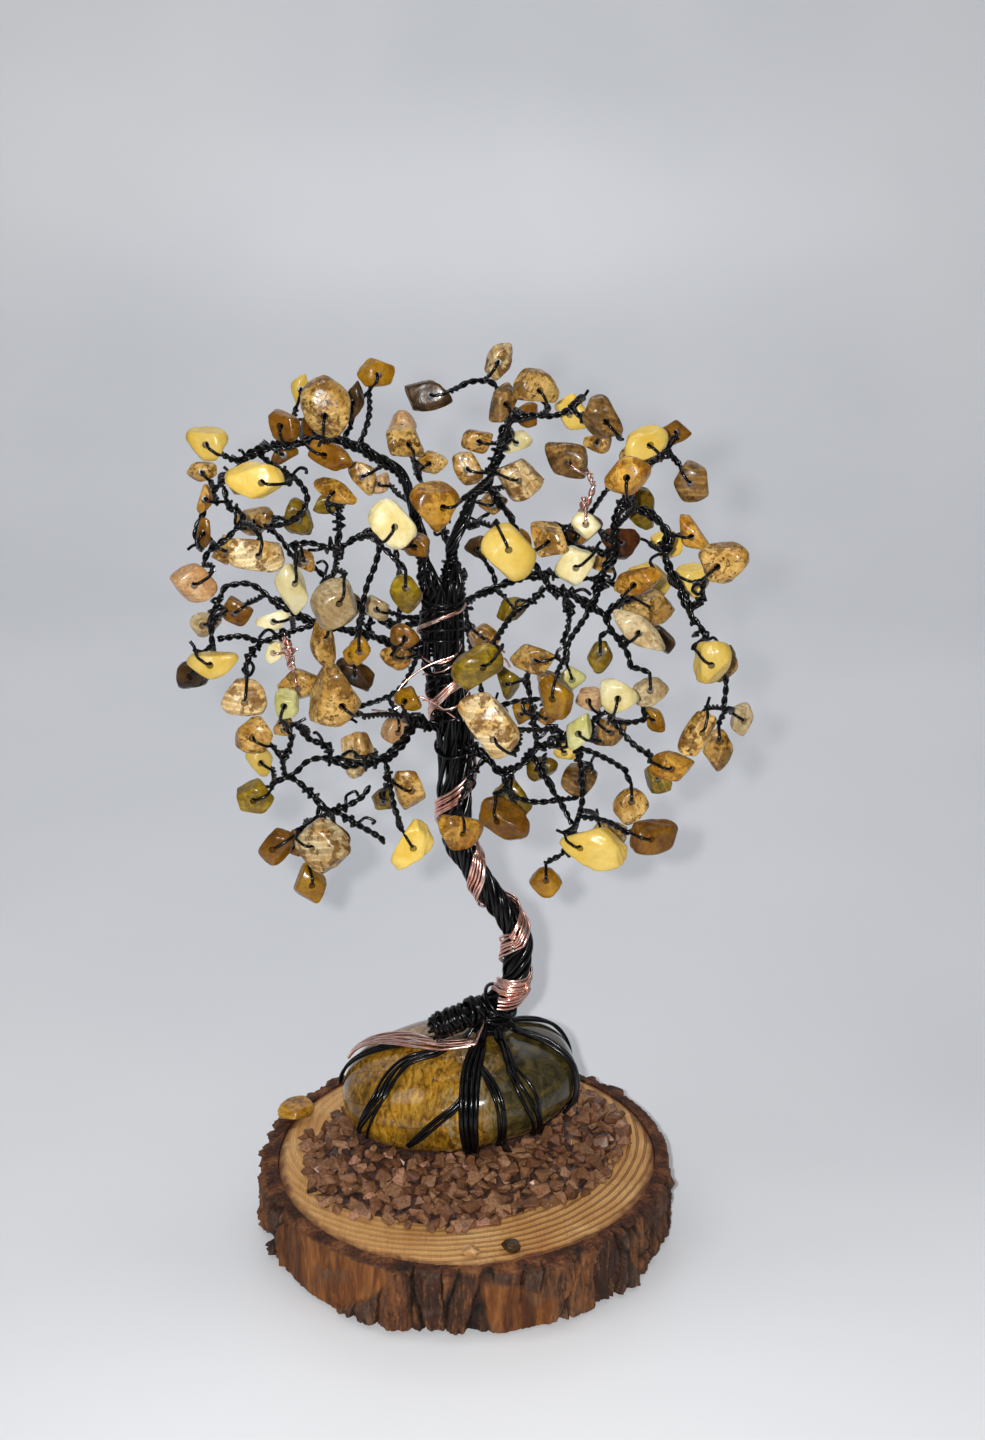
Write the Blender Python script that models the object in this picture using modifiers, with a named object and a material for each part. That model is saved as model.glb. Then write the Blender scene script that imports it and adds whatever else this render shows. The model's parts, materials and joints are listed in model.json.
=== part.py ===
"""Wire gem tree: drilled stone chips on twisted wire, rooted over a boulder on a slice of pine.

The layout is written in millimetres and made in metres.  The origin is the centre of the slice's
underside, +Z is up and the front of the tree faces -Y.
"""
import math
import random

import bmesh
import bpy
from mathutils import Matrix, Vector

MM = 0.001
GAP = 0.3                       # clearance that neighbouring pieces keep
CUT_GAP = 0.45                  # what a cutter adds, because its facets cut corners

# Slice of pine with its bark
SLICE_THICKNESS = 15.0
WOOD_RADIUS = 41.7
BARK_THICKNESS = 3.6
BARK_LIFT = 0.4                 # the bark stops this far above the table
OUTLINE_POINTS = 48

# Boulder: a pebble-like superellipsoid whose left end dips
BOULDER_CENTRE = Vector((-1.5, 8.5, 27.7))
BOULDER_HALF = Vector((26.0, 20.5, 11.7))
BOULDER_FULLNESS = 2.3
BOULDER_DIP = math.radians(8.0)

# Crushed stone around the boulder
GRAVEL_CENTRE = (0.5, 4.0)
GRAVEL_REACH = 35.0
GRAVEL_HEIGHT = 2.4
GRAVEL_HEAP = 3.2

# Wire
STRAND_RADIUS = 0.35            # 0.7 mm enamelled craft wire
TWIG_RADIUS = 0.6               # two strands twisted together
BORE_RADIUS = 0.8               # drilled hole in a chip
STEP_ALONG_WIRE = 6.0
FLAT_ENOUGH = math.radians(4.0)
CHIP_FLATNESS = 0.7             # thickness over width
HANG_LAND = 2.2                 # from a hanging chip's bore to its top
FRONT_LAND = 4.0                # from any other bore to the edge that its loop goes round
LOOP_ROOM = 1.1                 # from the chip to the middle of its loop's wire
RIBBON_WIDTH = 3.2
RIBBON_THICKNESS = 0.7

# Trunk: centre of the rope and its radius
TRUNK = (
    ((4.4, 9, 41.0), 3.1), ((5.0, 9, 43.5), 3.1), ((7.5, 9, 47), 3.1), ((10.2, 9.5, 51), 2.9),
    ((11.2, 10, 56), 2.9), ((11.4, 11, 61.5), 2.9), ((8.6, 11.5, 67), 2.6), ((4.7, 12, 72.5), 2.5),
    ((0.7, 12, 79), 2.7), ((-1.7, 12, 84), 3.0), ((-2.0, 12, 93), 3.5), ((-2.0, 12, 102), 3.5),
    ((-2.6, 12, 111), 3.6), ((-3.8, 12, 119.5), 3.8), ((-4.7, 12, 128), 4.0), ((-4.4, 12, 136), 4.0),
    ((-3.8, 12, 141), 3.6),
)
TRUNK_LOBES = 5
TRUNK_LOBE_DEPTH = 0.12
TRUNK_PITCH = 26.0              # rope length of one full twist
KNOT = ((3.2, 8.0, 49.0), (-2.2, 5.5, 47.4), (-6.8, 5.0, 45.6))
KNOT_RADIUS = 2.3
# The copper ribbon: (height on the trunk, turns made, with whole turns at the front)
RIBBON = ((48.0, -0.05), (48.5, 0), (62, 1), (76, 2), (95, 3), (119, 4), (135, 5), (137.5, 5.25))
RIBBON_STEPS = 13               # steps in a turn

# Roots: wire radius and the points that each is laid over the boulder through
ROOTS = {
    "root_front": (1.3, (
        ((2.8, 3.8, 39), (1.1, -6.5, 36), (0.8, -11.5, 29), (1.1, -9.5, 22)),
        ((2.5, -3, 38), (4.9, -6.6, 36), (7.5, -10.6, 31), (7.2, -9.5, 23)),
        ((1.5, -5, 37), (-1, -10.5, 33), (-6, -11.5, 29), (-11.6, -9.5, 23)))),
    "root_front_right": (1.1, (((6.6, 4.2, 39), (9.6, -4.4, 37), (13.9, -8.3, 32), (15.4, -7.5, 24)),)),
    "root_right_low": (1.0, (((9.6, 8.4, 39), (13, 7, 39), (20.5, 4.5, 36), (24, 2.5, 31),
        (23.5, 0.5, 24)),)),
    "root_right_high": (1.0, (((9.0, 12.4, 39), (14, 16, 38), (20, 17.5, 35), (22.5, 17, 26)),)),
    "root_left_low": (1.2, (((0.1, 5.8, 39), (-5.4, 1.8, 38), (-12, 0.5, 36), (-18, -6, 31),
        (-21.5, -4.5, 23)),)),
    "root_left_high": (1.1, (((-0.7, 9.2, 39), (-8.7, 6.5, 38), (-20, 9, 34), (-25.3, 11, 26)),)),
    "copper_root": (1.2, (((0.5, 12.8, 39), (-5.6, 12.5, 38), (-15, 17, 35), (-21.5, 17.5, 29)),)),
}

# Every branch: limb, branch, wire radius and the points it passes through
BRANCHES = (
    ("left_arch", "arch", 1.7, (
        (-4, 12, 134), (-8, 11, 140), (-8.5, 10, 147), (-9, 9, 153), (-12, 5, 164), (-18, 2, 169),
        (-24, 0, 172),
        (-31, 0, 172), (-38, 2, 170), (-43, 3, 168), (-47, 4, 163), (-51, 4, 158), (-53, 3, 154),
        (-51, 1, 150))),
    ("left_arch", "arch_web", 1.0, (
        (-40, 3, 169), (-36, -1, 167), (-32, -3, 165), (-30, -4, 162), (-31, -4, 159),
        (-35, -2, 156), (-39, 0, 155))),
    ("left_arch", "arch_tail", 1.0, (
        (-47, 4, 162), (-46, 2, 159), (-43, 0, 157), (-46, 0, 153), (-50, 0, 150), (-51, -1, 147.5))),
    ("left_upper", "upper", 1.4, (
        (-8.6, 9.5, 149), (-11, 6.5, 151.5), (-14, 4, 153), (-17, 1, 154), (-21, -2, 153), (-25, -3, 152),
        (-29, -3, 152), (-34, -3, 152))),
    ("left_upper", "upper_riser", 0.9, ((-24, -3, 153), (-24, -3, 157), (-24, -3, 161))),
    ("left_upper", "upper_drop", 0.9, ((-24, -3, 152), (-24, -8, 151), (-24, -14, 150))),
    ("left_upper", "upper_long", 0.9, ((-16, 2, 153), (-17, 0, 148), (-19, -2, 143), (-20, -3, 138))),
    ("left_mid", "mid", 1.4, (
        (-6, 12, 126), (-14, 10, 128), (-21, 7, 131), (-31, 3, 135), (-35, 1, 138), (-40, -1, 142),
        (-44, -3, 144), (-47, -4, 144), (-48, -5, 141), (-49, -7, 135), (-49, -8, 133))),
    ("left_mid", "mid_cross", 0.9, (
        (-29, 4, 134), (-36, 0, 133), (-40, -2, 132), (-44, -5, 134), (-48, -7, 134))),
    ("left_mid", "mid_drop", 0.9, ((-40, -2, 132), (-42, -5, 130), (-43, -6.6, 127.4))),
    ("left_mid", "mid_copper", 0.8, ((-36, 0, 133), (-35, 1, 129), (-35, 2, 126))),
    ("left_low", "low", 1.6, (
        (-3, 12, 108), (-8, 8, 111), (-10, 5, 113), (-12, 2, 110), (-16, -1, 107), (-22, -4, 107),
        (-29, -5, 108), (-33, -6, 107), (-38, -7, 104))),
    ("left_low", "low_front", 1.0, ((-10, 5, 113), (-13, -1, 116), (-16, -9, 119), (-19, -16, 121))),
    ("left_low", "low_riser", 0.9, ((-27, -5, 107), (-27, -6, 111), (-31, -6, 113), (-33, -7, 116))),
    ("left_low", "low_loop", 0.9, ((-36, -6, 105), (-36, -8, 109), (-34, -10, 114), (-35, -11, 118))),
    ("left_low", "low_tip", 1.1, ((-35, -6, 105), (-31, -7, 102), (-29, -8, 99), (-30, -8, 96))),
    ("left_low", "low_right", 1.0, ((-16, -1, 107), (-15, -4, 103), (-14, -7, 99), (-13, -9, 97))),
    ("left_low", "low_zig", 0.9, ((-29, -8, 99), (-26, -7, 98), (-21, -6, 100), (-19, -4, 102))),
    ("left_low", "low_zag", 0.9, ((-26, -7, 98), (-21, -8, 95), (-17, -9, 93), (-16, -10, 92))),
    ("crown_leader", "crown", 1.9, (
        (-4, 12, 138), (-2, 12, 148), (0, 12, 154), (2, 11, 159), (5, 9, 161), (6, 8, 164),
        (7, 8, 168), (9, 8, 174), (12, 8, 175), (18, 8, 176), (21, 8, 177))),
    ("crown_leader", "crown_top", 1.0, (
        (9, 8, 173), (8, 12, 177), (6, 12, 181), (2, 9, 182), (-1, 7, 181))),
    ("crown_leader", "crown_end", 1.0, ((21, 8, 177), (24, 6, 175), (27, 5, 173), (30, 3, 173))),
    ("crown_leader", "crown_fall", 1.0, (
        (5, 9, 161), (9, 2, 157), (11, -2, 154), (13, -4, 150), (16, -4.5, 146))),
    ("crown_leader", "crown_front", 1.0, ((0, 12, 152), (3, 4, 155), (6, -4, 156))),
    ("crown_leader", "crown_back", 1.0, ((-2, 13, 146), (-5, 22, 151), (-8, 27, 156), (-10, 28, 160))),
    ("right_high", "high", 1.2, (
        (25.5, -4, 140), (27, -2, 143), (28, 1, 146), (30, 2, 149), (30, 3, 154), (31, 2, 160),
        (33, 0, 164), (37, 0, 168), (39, 1, 170))),
    ("right_high", "high_left", 1.0, (
        (30, 2, 149), (27, 4, 149), (22, 5, 150), (20, 5, 153), (23, 4, 155))),
    ("right_high", "high_copper", 0.8, ((23, 4, 155), (25, 5, 159), (26, 6, 162))),
    ("right_high", "high_front", 1.0, ((30, 3, 154), (32, -3, 158), (33, -8, 161), (32, -11, 165))),
    ("right_high", "high_tip", 0.9, ((37, 0, 168), (40, 3, 169), (42, 5, 167))),
    ("right_mid", "midr", 1.3, (
        (16, -4.5, 146), (17.5, -5, 143.5), (21, -5, 142.5), (25, -4, 140), (28, -4, 138),
        (30, -5, 135), (32, -6, 131),
        (33, -6, 128))),
    ("right_mid", "midr_front", 1.0, (
        (16, -5, 144), (14, -7, 142), (10, -10, 140), (7, -15, 137), (5, -18, 135))),
    ("right_mid", "midr_drop", 1.0, ((25, -4, 140), (24, -6, 138), (21, -8, 134), (20, -8, 130))),
    ("right_mid", "midr_back", 0.9, ((20, -5, 143), (21, -2, 139), (21, 2, 134), (20, 4, 130))),
    ("right_mid", "midr_up", 0.9, ((28, -4, 138), (31, 0, 139), (34, 2, 140))),
    ("right_far", "far", 1.2, (
        (31, 2, 159), (36, -1, 158), (40, 0, 154), (40, 1, 150), (41, 1, 146), (43, 0, 143), (45, -1, 138),
        (48, 0, 132), (50, 1, 128), (52, 0, 125), (53, -2, 118))),
    ("right_far", "far_fork", 0.9, ((45, -1, 138), (47, -3, 141), (47, -5, 144), (48, -6, 147))),
    ("right_low", "lowr", 1.5, (
        (-3, 12, 105), (2, 8, 106), (5, 6, 104), (8, 4, 102), (12, 2, 105), (15, 0, 109),
        (19, -2, 110), (21, -4, 114), (25, -5, 115), (29, -6, 119))),
    ("right_low", "lowr_front", 1.0, ((20, -3, 113), (18, -6, 115), (15, -10, 116), (11, -15, 118))),
    ("right_low", "lowr_riser", 1.0, ((15, 0, 109), (14, 2, 116), (13, 3, 122), (13, 2, 125))),
    ("right_low", "lowr_fall", 1.0, ((14, 1, 107), (17, -1, 102), (20, -4, 98), (22, -7, 95))),
    ("right_low", "lowr_drop", 1.1, (
        (22, -4, 114), (23, -3, 110), (24, -4, 104), (24, -6, 99), (23, -8, 96))),
    ("right_low", "lowr_side", 0.9, (
        (8, 4, 102), (9, 2, 99), (10, 1, 98), (15, 0, 97), (20, -1, 98), (23, -5, 100))),
    ("right_low", "lowr_right", 1.0, ((23, -3, 110), (26, -3, 109), (30, -3, 107), (33, -3, 105))),
    ("right_low", "lowr_tip", 0.9, ((29, -6, 119), (30, -4, 116), (34, -2, 115), (37, 0, 115))),
    ("right_low", "lowr_tip2", 0.9, ((30, -4, 116), (34, -3, 111), (38, -3, 108))),
    ("right_low", "lowr_end", 0.9, ((23, -8, 96), (22, -5, 91), (20, -2, 86))),
    ("right_low", "lowr_end2", 0.9, ((23, -8, 97), (29, -3, 94), (33, -1, 91))),
    ("right_low", "lowr_trunk", 0.9, ((4, 6, 104), (1, 3, 101), (0, 3, 98), (-1, 3, 95))),
    ("rear_left", "rear_l", 1.4, (
        (-5, 12, 133), (-8, 20, 131), (-14, 26, 127), (-20, 29, 129), (-27, 31, 134), (-35, 29, 141),
        (-41, 26, 148))),
    ("rear_left", "rear_l2", 1.0, (
        (-8, 20, 129), (-11, 24, 119), (-15, 27, 112), (-23, 29, 108), (-28, 30, 106))),
    ("rear_left", "rear_l3", 1.0, ((-20, 29, 129), (-21, 26, 124), (-23, 22, 122))),
    ("rear_left", "rear_l4", 1.0, ((-14, 26, 127), (-14, 34, 135), (-15, 37, 141), (-16, 38, 144))),
    ("rear_right", "rear_r", 1.4, (
        (-3, 12, 136), (0, 20, 134), (4, 27, 134), (12, 32, 136), (20, 35, 136), (31, 35, 134),
        (38, 34, 132))),
    ("rear_right", "rear_r2", 1.0, (
        (0, 20, 134), (1, 28, 123), (3, 34, 112), (5, 36, 106), (12, 36, 107), (18, 35, 108))),
    ("rear_right", "rear_r3", 1.0, ((20, 35, 136), (25, 36, 146), (30, 33, 155), (34, 30, 160))),
    ("rear_right", "rear_r4", 1.0, ((0, 20, 134), (-1, 32, 138), (-4, 36, 143), (-5, 37, 148))),
)

# Every chip: its own node's name, or "" where the chip is joined to its limb; the branch that
# holds it; how it is drilled ("front" along Y, "side" across the wire, "hang" near its top end);
# its stone; centre; length, width and the tilt of its length in degrees
CHIPS = (
    ("", "arch", "side", "amber", (-17, 12, 183), 7, 6, 30),
    ("", "arch", "side", "cream", (-32, 12, 180), 6, 4, 80),
    ("chip_arch_top", "arch", "front", "jasper", (-25, -13, 181), 11, 9, -70),
    ("", "arch", "side", "dark", (-21, 3, 179), 8, 4, 80),
    ("", "crown_top", "side", "dark", (-7, 5, 180), 10, 6, -3),
    ("", "arch", "front", "russet", (-34, -5, 176), 7, 6, -30),
    ("", "arch", "side", "russet", (-36, 12, 167), 6, 4, 20),
    ("chip_arch_shoulder", "arch", "front", "cream", (-49, -2, 172), 8, 7, -30),
    ("chip_arch_front", "arch_web", "front", "cream", (-39, -12, 167), 11, 7, -5),
    ("", "arch", "side", "jasper", (-52, 9, 164), 6, 4, 10),
    ("", "arch", "side", "golden", (-50, -2, 161), 6, 3, 75),
    ("", "arch", "side", "russet", (-25, -9, 171), 9, 5, -15),
    ("", "arch", "side", "russet", (-29, 7, 173), 6, 5, -60),
    ("", "upper_riser", "side", "golden", (-24, -9, 164), 9, 4, -20),
    ("", "arch", "side", "jasper", (-20, 10, 163), 8, 5, -60),
    ("", "arch", "side", "blush", (-17, 17, 160), 5, 4, 60),
    ("", "upper_riser", "side", "olive", (-27, 7, 158), 6, 4, 10),
    ("chip_upper_ivory", "upper", "front", "ivory", (-13, -15, 159), 10, 7, -53),
    ("chip_crown_front", "crown", "front", "golden", (-5, -12, 162), 10, 9, -50),
    ("", "crown_back", "side", "blush", (-13, 32, 169), 6, 6, 20),
    ("", "crown_back", "side", "jasper", (-12, 24, 167), 9, 7, -20),
    ("", "crown_back", "side", "jasper", (-7, 33, 161), 7, 5, 10),
    ("", "upper", "side", "russet", (-9, 1, 151), 7, 5, -30),
    ("chip_upper_swing", "upper", "hang", "olive", (-11, -6, 143), 8, 6, -65),
    ("", "arch", "side", "russet", (-50, -5, 155), 6, 3, 88),
    ("chip_left_blush", "arch_tail", "front", "blush", (-52, -9, 146), 9, 7, -35),
    ("", "arch_tail", "side", "jasper", (-48, 9, 148), 6, 5, 50),
    ("chip_left_banded", "arch_tail", "front", "banded", (-39, -14, 153), 11, 6, -12),
    ("", "arch_web", "side", "olive", (-33, 7, 155), 8, 6, -70),
    ("", "upper", "side", "jasper", (-32, 8, 146), 5, 4, -50),
    ("", "upper", "side", "ivory", (-33, -8, 145), 11, 6, -75),
    ("chip_upper_sand", "upper_drop", "front", "sand", (-24, -21, 145), 10, 9, 60),
    ("", "mid", "side", "sand", (-52, 4, 134), 7, 5, 20),
    ("", "mid", "side", "russet", (-46, 6, 136), 6, 5, -40),
    ("chip_mid_cream", "mid", "front", "cream", (-48, -16, 132), 10, 6, 10),
    ("", "mid", "side", "dark", (-54, -1, 125), 8, 6, 40),
    ("chip_mid_banded", "mid_drop", "front", "banded", (-43, -11, 123), 9, 8, -20),
    ("", "mid_cross", "side", "ivory", (-39, 10, 133), 7, 4, 20),
    ("", "mid_copper", "side", "ivory", (-39, 11, 126), 5, 4, 60),
    ("", "low_loop", "front", "celadon", (-34, -17, 124), 6, 5, 80),
    ("", "mid_copper", "side", "jasper", (-34, 7, 120), 9, 7, 15),
    ("", "low_loop", "side", "jasper", (-42, -4, 113), 9, 7, 35),
    ("", "low_riser", "side", "jasper", (-37, 6, 111), 5, 4, 60),
    ("", "low", "side", "cream", (-42, 3, 105), 7, 5, -60),
    ("", "low", "front", "olive", (-42, -10, 102), 8, 7, 0),
    ("", "low_tip", "front", "russet", (-38, -9, 91), 8, 6, 60),
    ("", "low_tip", "side", "russet", (-35, 2, 87), 7, 5, 70),
    ("chip_low_banded", "low_tip", "front", "banded", (-28, -16, 94), 10, 9, -40),
    ("", "low_tip", "side", "amber", (-32, -3, 80), 9, 7, -80),
    ("", "upper_drop", "side", "jasper", (-27, -10, 134), 11, 5, -85),
    ("chip_low_front", "low_front", "front", "jasper", (-24, -25, 128), 12, 10, 70),
    ("", "upper_long", "side", "amber", (-20, -11, 133), 6, 4, 80),
    ("", "upper_long", "side", "amber", (-22, 0, 129), 5, 4, 60),
    ("", "rear_l", "side", "sand", (-18, 16, 134), 6, 5, -50),
    ("", "rear_l3", "side", "dark", (-23, 17, 119), 9, 6, -30),
    ("", "rear_l2", "side", "jasper", (-14, 18, 123), 7, 6, 10),
    ("", "mid", "side", "russet", (-12, 5, 131), 6, 5, -20),
    ("", "low", "side", "amber", (-11, -5, 121), 6, 5, -15),
    ("", "rear_l2", "side", "blush", (-15, 22, 105), 6, 6, 0),
    ("", "low", "side", "banded", (-22, 5, 106), 11, 7, 88),
    ("", "low_right", "side", "jasper", (-11, 0, 100), 9, 6, -75),
    ("", "low_right", "side", "olive", (-17, 6, 95), 5, 5, -40),
    ("chip_low_cream", "low_right", "front", "cream", (-10, -16, 94), 11, 7, 65),
    ("", "crown_top", "front", "banded", (7, 8, 186), 8, 5, 60),
    ("chip_crown_top", "crown", "front", "jasper", (14, -5, 183), 9, 7, -15),
    ("", "crown_top", "side", "striped", (8, 2, 179), 8, 5, 70),
    ("", "crown", "side", "russet", (13, 17, 174), 6, 5, 0),
    ("", "crown", "side", "ivory", (11, 19, 168), 7, 4, 30),
    ("", "crown", "side", "cream", (22, 19, 174), 8, 6, -50),
    ("", "crown_end", "front", "striped", (27, -3, 177), 9, 7, -55),
    ("", "crown_end", "side", "jasper", (27, 13, 169), 6, 4, 5),
    ("", "high_copper", "side", "striped", (21, 12, 166), 10, 7, -15),
    ("chip_high_cream", "high", "front", "cream", (35, -8, 173), 9, 6, 15),
    ("", "high_tip", "side", "russet", (42, 9, 172), 7, 5, -5),
    ("chip_high_golden", "high_front", "front", "golden", (31, -18, 169), 9, 7, 25),
    ("", "high_tip", "side", "striped", (45, 5, 163), 8, 7, -70),
    ("", "crown", "side", "jasper", (3, 0, 172), 6, 5, 0),
    ("", "crown", "side", "jasper", (1, 3, 166), 7, 5, -60),
    ("", "crown", "front", "banded", (11, 2, 164), 9, 8, -35),
    ("", "crown", "side", "amber", (14, 23, 159), 5, 4, 0),
    ("", "crown", "side", "jasper", (6, 20, 155), 6, 5, 10),
    ("chip_crown_cream", "crown_front", "front", "cream", (9, -17, 154), 11, 8, -45),
    ("", "crown_fall", "front", "jasper", (17, -7, 154), 9, 7, -30),
    ("chip_high_swing", "high_copper", "hang", "ivory", (24, -3, 156), 6, 5, -30),
    ("", "high_left", "front", "ivory", (22, -3, 148), 8, 7, 75),
    ("", "high", "side", "jasper", (29, 18, 143), 5, 4, 0),
    ("", "high", "side", "maroon", (32, 12, 149), 8, 7, -20),
    ("", "high", "side", "olive", (36, 13, 156), 10, 6, -70),
    ("", "far", "side", "cream", (42, 18, 147), 7, 6, -40),
    ("", "far", "side", "golden", (45, -3, 154), 9, 5, -50),
    ("chip_right_golden", "far_fork", "front", "jasper", (50, -12, 151), 10, 8, 10),
    ("", "far", "side", "cream", (47, 12, 141), 8, 7, -35),
    ("", "midr_up", "side", "golden", (34, -8, 146), 10, 5, 20),
    ("", "midr_up", "side", "jasper", (38, 9, 136), 11, 7, 5),
    ("", "rear_r", "side", "dark", (3, 31, 143), 6, 5, 0),
    ("", "rear_r", "side", "olive", (10, 25, 131), 7, 5, 20),
    ("", "midr", "side", "sand", (34, -15, 138), 12, 5, -38),
    ("", "rear_r", "side", "dark", (42, 25, 124), 7, 5, -50),
    ("", "rear_r2", "side", "jasper", (4, 21, 126), 7, 6, 0),
    ("chip_mid_olive", "midr_front", "front", "olive", (3, -22, 133), 10, 7, 30),
    ("", "rear_r2", "side", "maroon", (-4, 36, 114), 6, 5, 0),
    ("chip_low_gold", "lowr_front", "front", "banded", (5, -24, 122), 13, 9, -50),
    ("", "midr_drop", "side", "jasper", (14, -4, 129), 9, 6, 0),
    ("", "midr_drop", "front", "amber", (18, -13, 124), 9, 7, -65),
    ("", "lowr_riser", "side", "olive", (9, 12, 119), 7, 5, -80),
    ("", "lowr_riser", "side", "amber", (12, 10, 113), 5, 5, 0),
    ("", "lowr_riser", "side", "golden", (17, 10, 112), 4, 4, 0),
    ("", "midr_back", "side", "celadon", (22, 9, 121), 6, 5, -20),
    ("", "lowr", "side", "blush", (26, 7, 117), 6, 5, 0),
    ("", "lowr", "side", "striped", (30, 5, 111), 8, 6, 40),
    ("chip_right_ivory", "lowr", "front", "ivory", (30, -18, 126), 8, 7, -30),
    ("chip_mid_swing_right", "midr", "hang", "sand", (37, -7, 123), 8, 6, 20),
    ("chip_mid_swing", "midr", "hang", "olive", (27, -7.5, 130.5), 7, 5, 75),
    ("chip_far_cream", "far", "front", "cream", (49, -9, 130), 9, 7, 85),
    ("", "lowr", "side", "celadon", (23, -13, 117), 8, 5, 70),
    ("", "lowr", "side", "cream", (21, 6, 106), 5, 4, 0),
    ("", "lowr_tip", "front", "amber", (39, 3, 114), 6, 4, -55),
    ("", "lowr_tip2", "front", "golden", (42, -6, 107), 9, 6, -5),
    ("", "lowr_tip2", "side", "olive", (40, 4, 101), 7, 5, -70),
    ("chip_right_swing", "lowr_right", "hang", "jasper", (34, -5, 98), 8, 7, 60),
    ("", "lowr_drop", "side", "striped", (24, 8, 99), 8, 7, 20),
    ("", "lowr_fall", "side", "olive", (16, 9, 101), 7, 5, 15),
    ("", "lowr_side", "side", "olive", (10, 9, 94), 9, 7, -55),
    ("chip_low_russet", "lowr_side", "front", "russet", (8, -8, 96), 11, 8, -35),
    ("chip_low_ivory", "lowr_drop", "front", "cream", (26, -17, 94), 13, 9, -5),
    ("", "lowr_end2", "side", "russet", (39, 1, 89), 11, 7, -5),
    ("chip_drop_swing", "lowr_end", "hang", "amber", (17, 0, 79), 7, 7, 0),
    ("", "lowr_trunk", "side", "golden", (-1, 2, 90), 10, 8, -20),
    ("", "far", "side", "jasper", (48, 5, 110), 10, 6, 60),
    ("chip_far_swing", "far", "hang", "jasper", (51, -7, 111), 9, 6, 85),
    ("", "far", "side", "sand", (57, 6, 113), 7, 5, 65),
    ("", "rear_l", "side", "jasper", (-28, 38, 128), 10, 8, 30),
    ("", "rear_l2", "side", "cream", (-29, 34, 108), 10, 8, -40),
    ("", "rear_r4", "side", "jasper", (-6, 40, 151), 9, 8, 20),
    ("", "rear_r", "side", "golden", (10, 41, 140), 10, 8, 60),
    ("", "rear_r", "side", "cream", (40, 38, 134), 10, 7, -30),
    ("", "rear_r2", "side", "olive", (5, 39, 101), 10, 8, 40),
    ("", "rear_r2", "side", "jasper", (19, 37, 110), 9, 7, -20),
    ("", "arch", "side", "cream", (-28, 20, 173), 9, 7, -20),
    ("", "rear_r3", "side", "jasper", (37, 31, 163), 9, 7, 30),
    ("", "rear_l4", "side", "russet", (-16, 41, 146), 10, 7, -50),
    ("", "rear_l", "side", "jasper", (-44, 27, 150), 8, 6, 20),
    ("", "arch", "side", "jasper", (-44, 18, 160), 9, 6, 0),
    ("", "far", "side", "jasper", (54, 15, 122), 8, 6, 70),
    ("", "lowr_drop", "side", "jasper", (30, 8, 86), 9, 7, 20),
    ("", "low_tip", "side", "golden", (-28, 6, 86), 8, 7, -30),
    ("", "rear_r3", "side", "russet", (25, 39, 145), 9, 6, 40),
)

# Flats worn along a chip's outline: the way each one faces, in degrees seen from the front with 0 to
# the right and 90 up, and how deep it lies, where 1 just touches the unworn ball
FACETS = {
    "chip_arch_top": ((200, 0.80), (340, 0.74), (60, 0.85)),
    "chip_arch_front": ((115, 0.60), (235, 0.62), (310, 0.72), (75, 0.76), (20, 0.85)),
    "chip_arch_shoulder": ((90, 0.62), (215, 0.74), (325, 0.70)),
    "chip_upper_ivory": ((37, 0.76), (217, 0.76), (127, 0.90), (307, 0.90)),
    "chip_crown_front": ((90, 0.74), (215, 0.66), (325, 0.66)),
    "chip_left_blush": ((120, 0.68), (30, 0.76), (300, 0.78), (210, 0.80)),
    "chip_left_banded": ((80, 0.66), (260, 0.70), (170, 0.85), (10, 0.86)),
    "chip_upper_sand": ((100, 0.80), (20, 0.74), (200, 0.76), (290, 0.78)),
    "chip_mid_cream": ((88, 0.52), (225, 0.62), (320, 0.64)),
    "chip_mid_banded": ((270, 0.74), (10, 0.80), (150, 0.70)),
    "chip_low_front": ((40, 0.60), (165, 0.62), (300, 0.80), (250, 0.86)),
    "chip_low_cream": ((150, 0.60), (45, 0.76), (335, 0.80), (290, 0.64)),
    "chip_low_banded": ((45, 0.74), (135, 0.74), (225, 0.70), (315, 0.76)),
    "chip_crown_top": ((265, 0.60), (30, 0.80), (150, 0.78)),
    "chip_high_cream": ((100, 0.80), (290, 0.66), (200, 0.85)),
    "chip_high_golden": ((60, 0.80), (150, 0.80), (240, 0.84), (330, 0.74)),
    "chip_crown_cream": ((45, 0.76), (225, 0.70)),
    "chip_right_golden": ((100, 0.84), (200, 0.78), (330, 0.80)),
    "chip_mid_olive": ((120, 0.76), (300, 0.70)),
    "chip_low_gold": ((40, 0.76), (215, 0.56), (310, 0.86)),
    "chip_right_ivory": ((60, 0.66), (300, 0.66), (185, 0.70)),
    "chip_far_cream": ((180, 0.70), (90, 0.80), (0, 0.85), (315, 0.64)),
    "chip_low_russet": ((60, 0.70), (240, 0.64), (170, 0.86), (290, 0.76)),
    "chip_low_ivory": ((120, 0.64), (40, 0.80), (0, 0.86), (280, 0.74), (225, 0.64)),
}
HANGING_FACETS = ((35, 0.86), (150, 0.86), (225, 0.74), (320, 0.76))

# The branch that each limb is wound onto where it isn't the trunk
PARENT = {"left_upper": "arch", "right_mid": "crown_fall", "right_high": "midr", "right_far": "high"}

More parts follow.
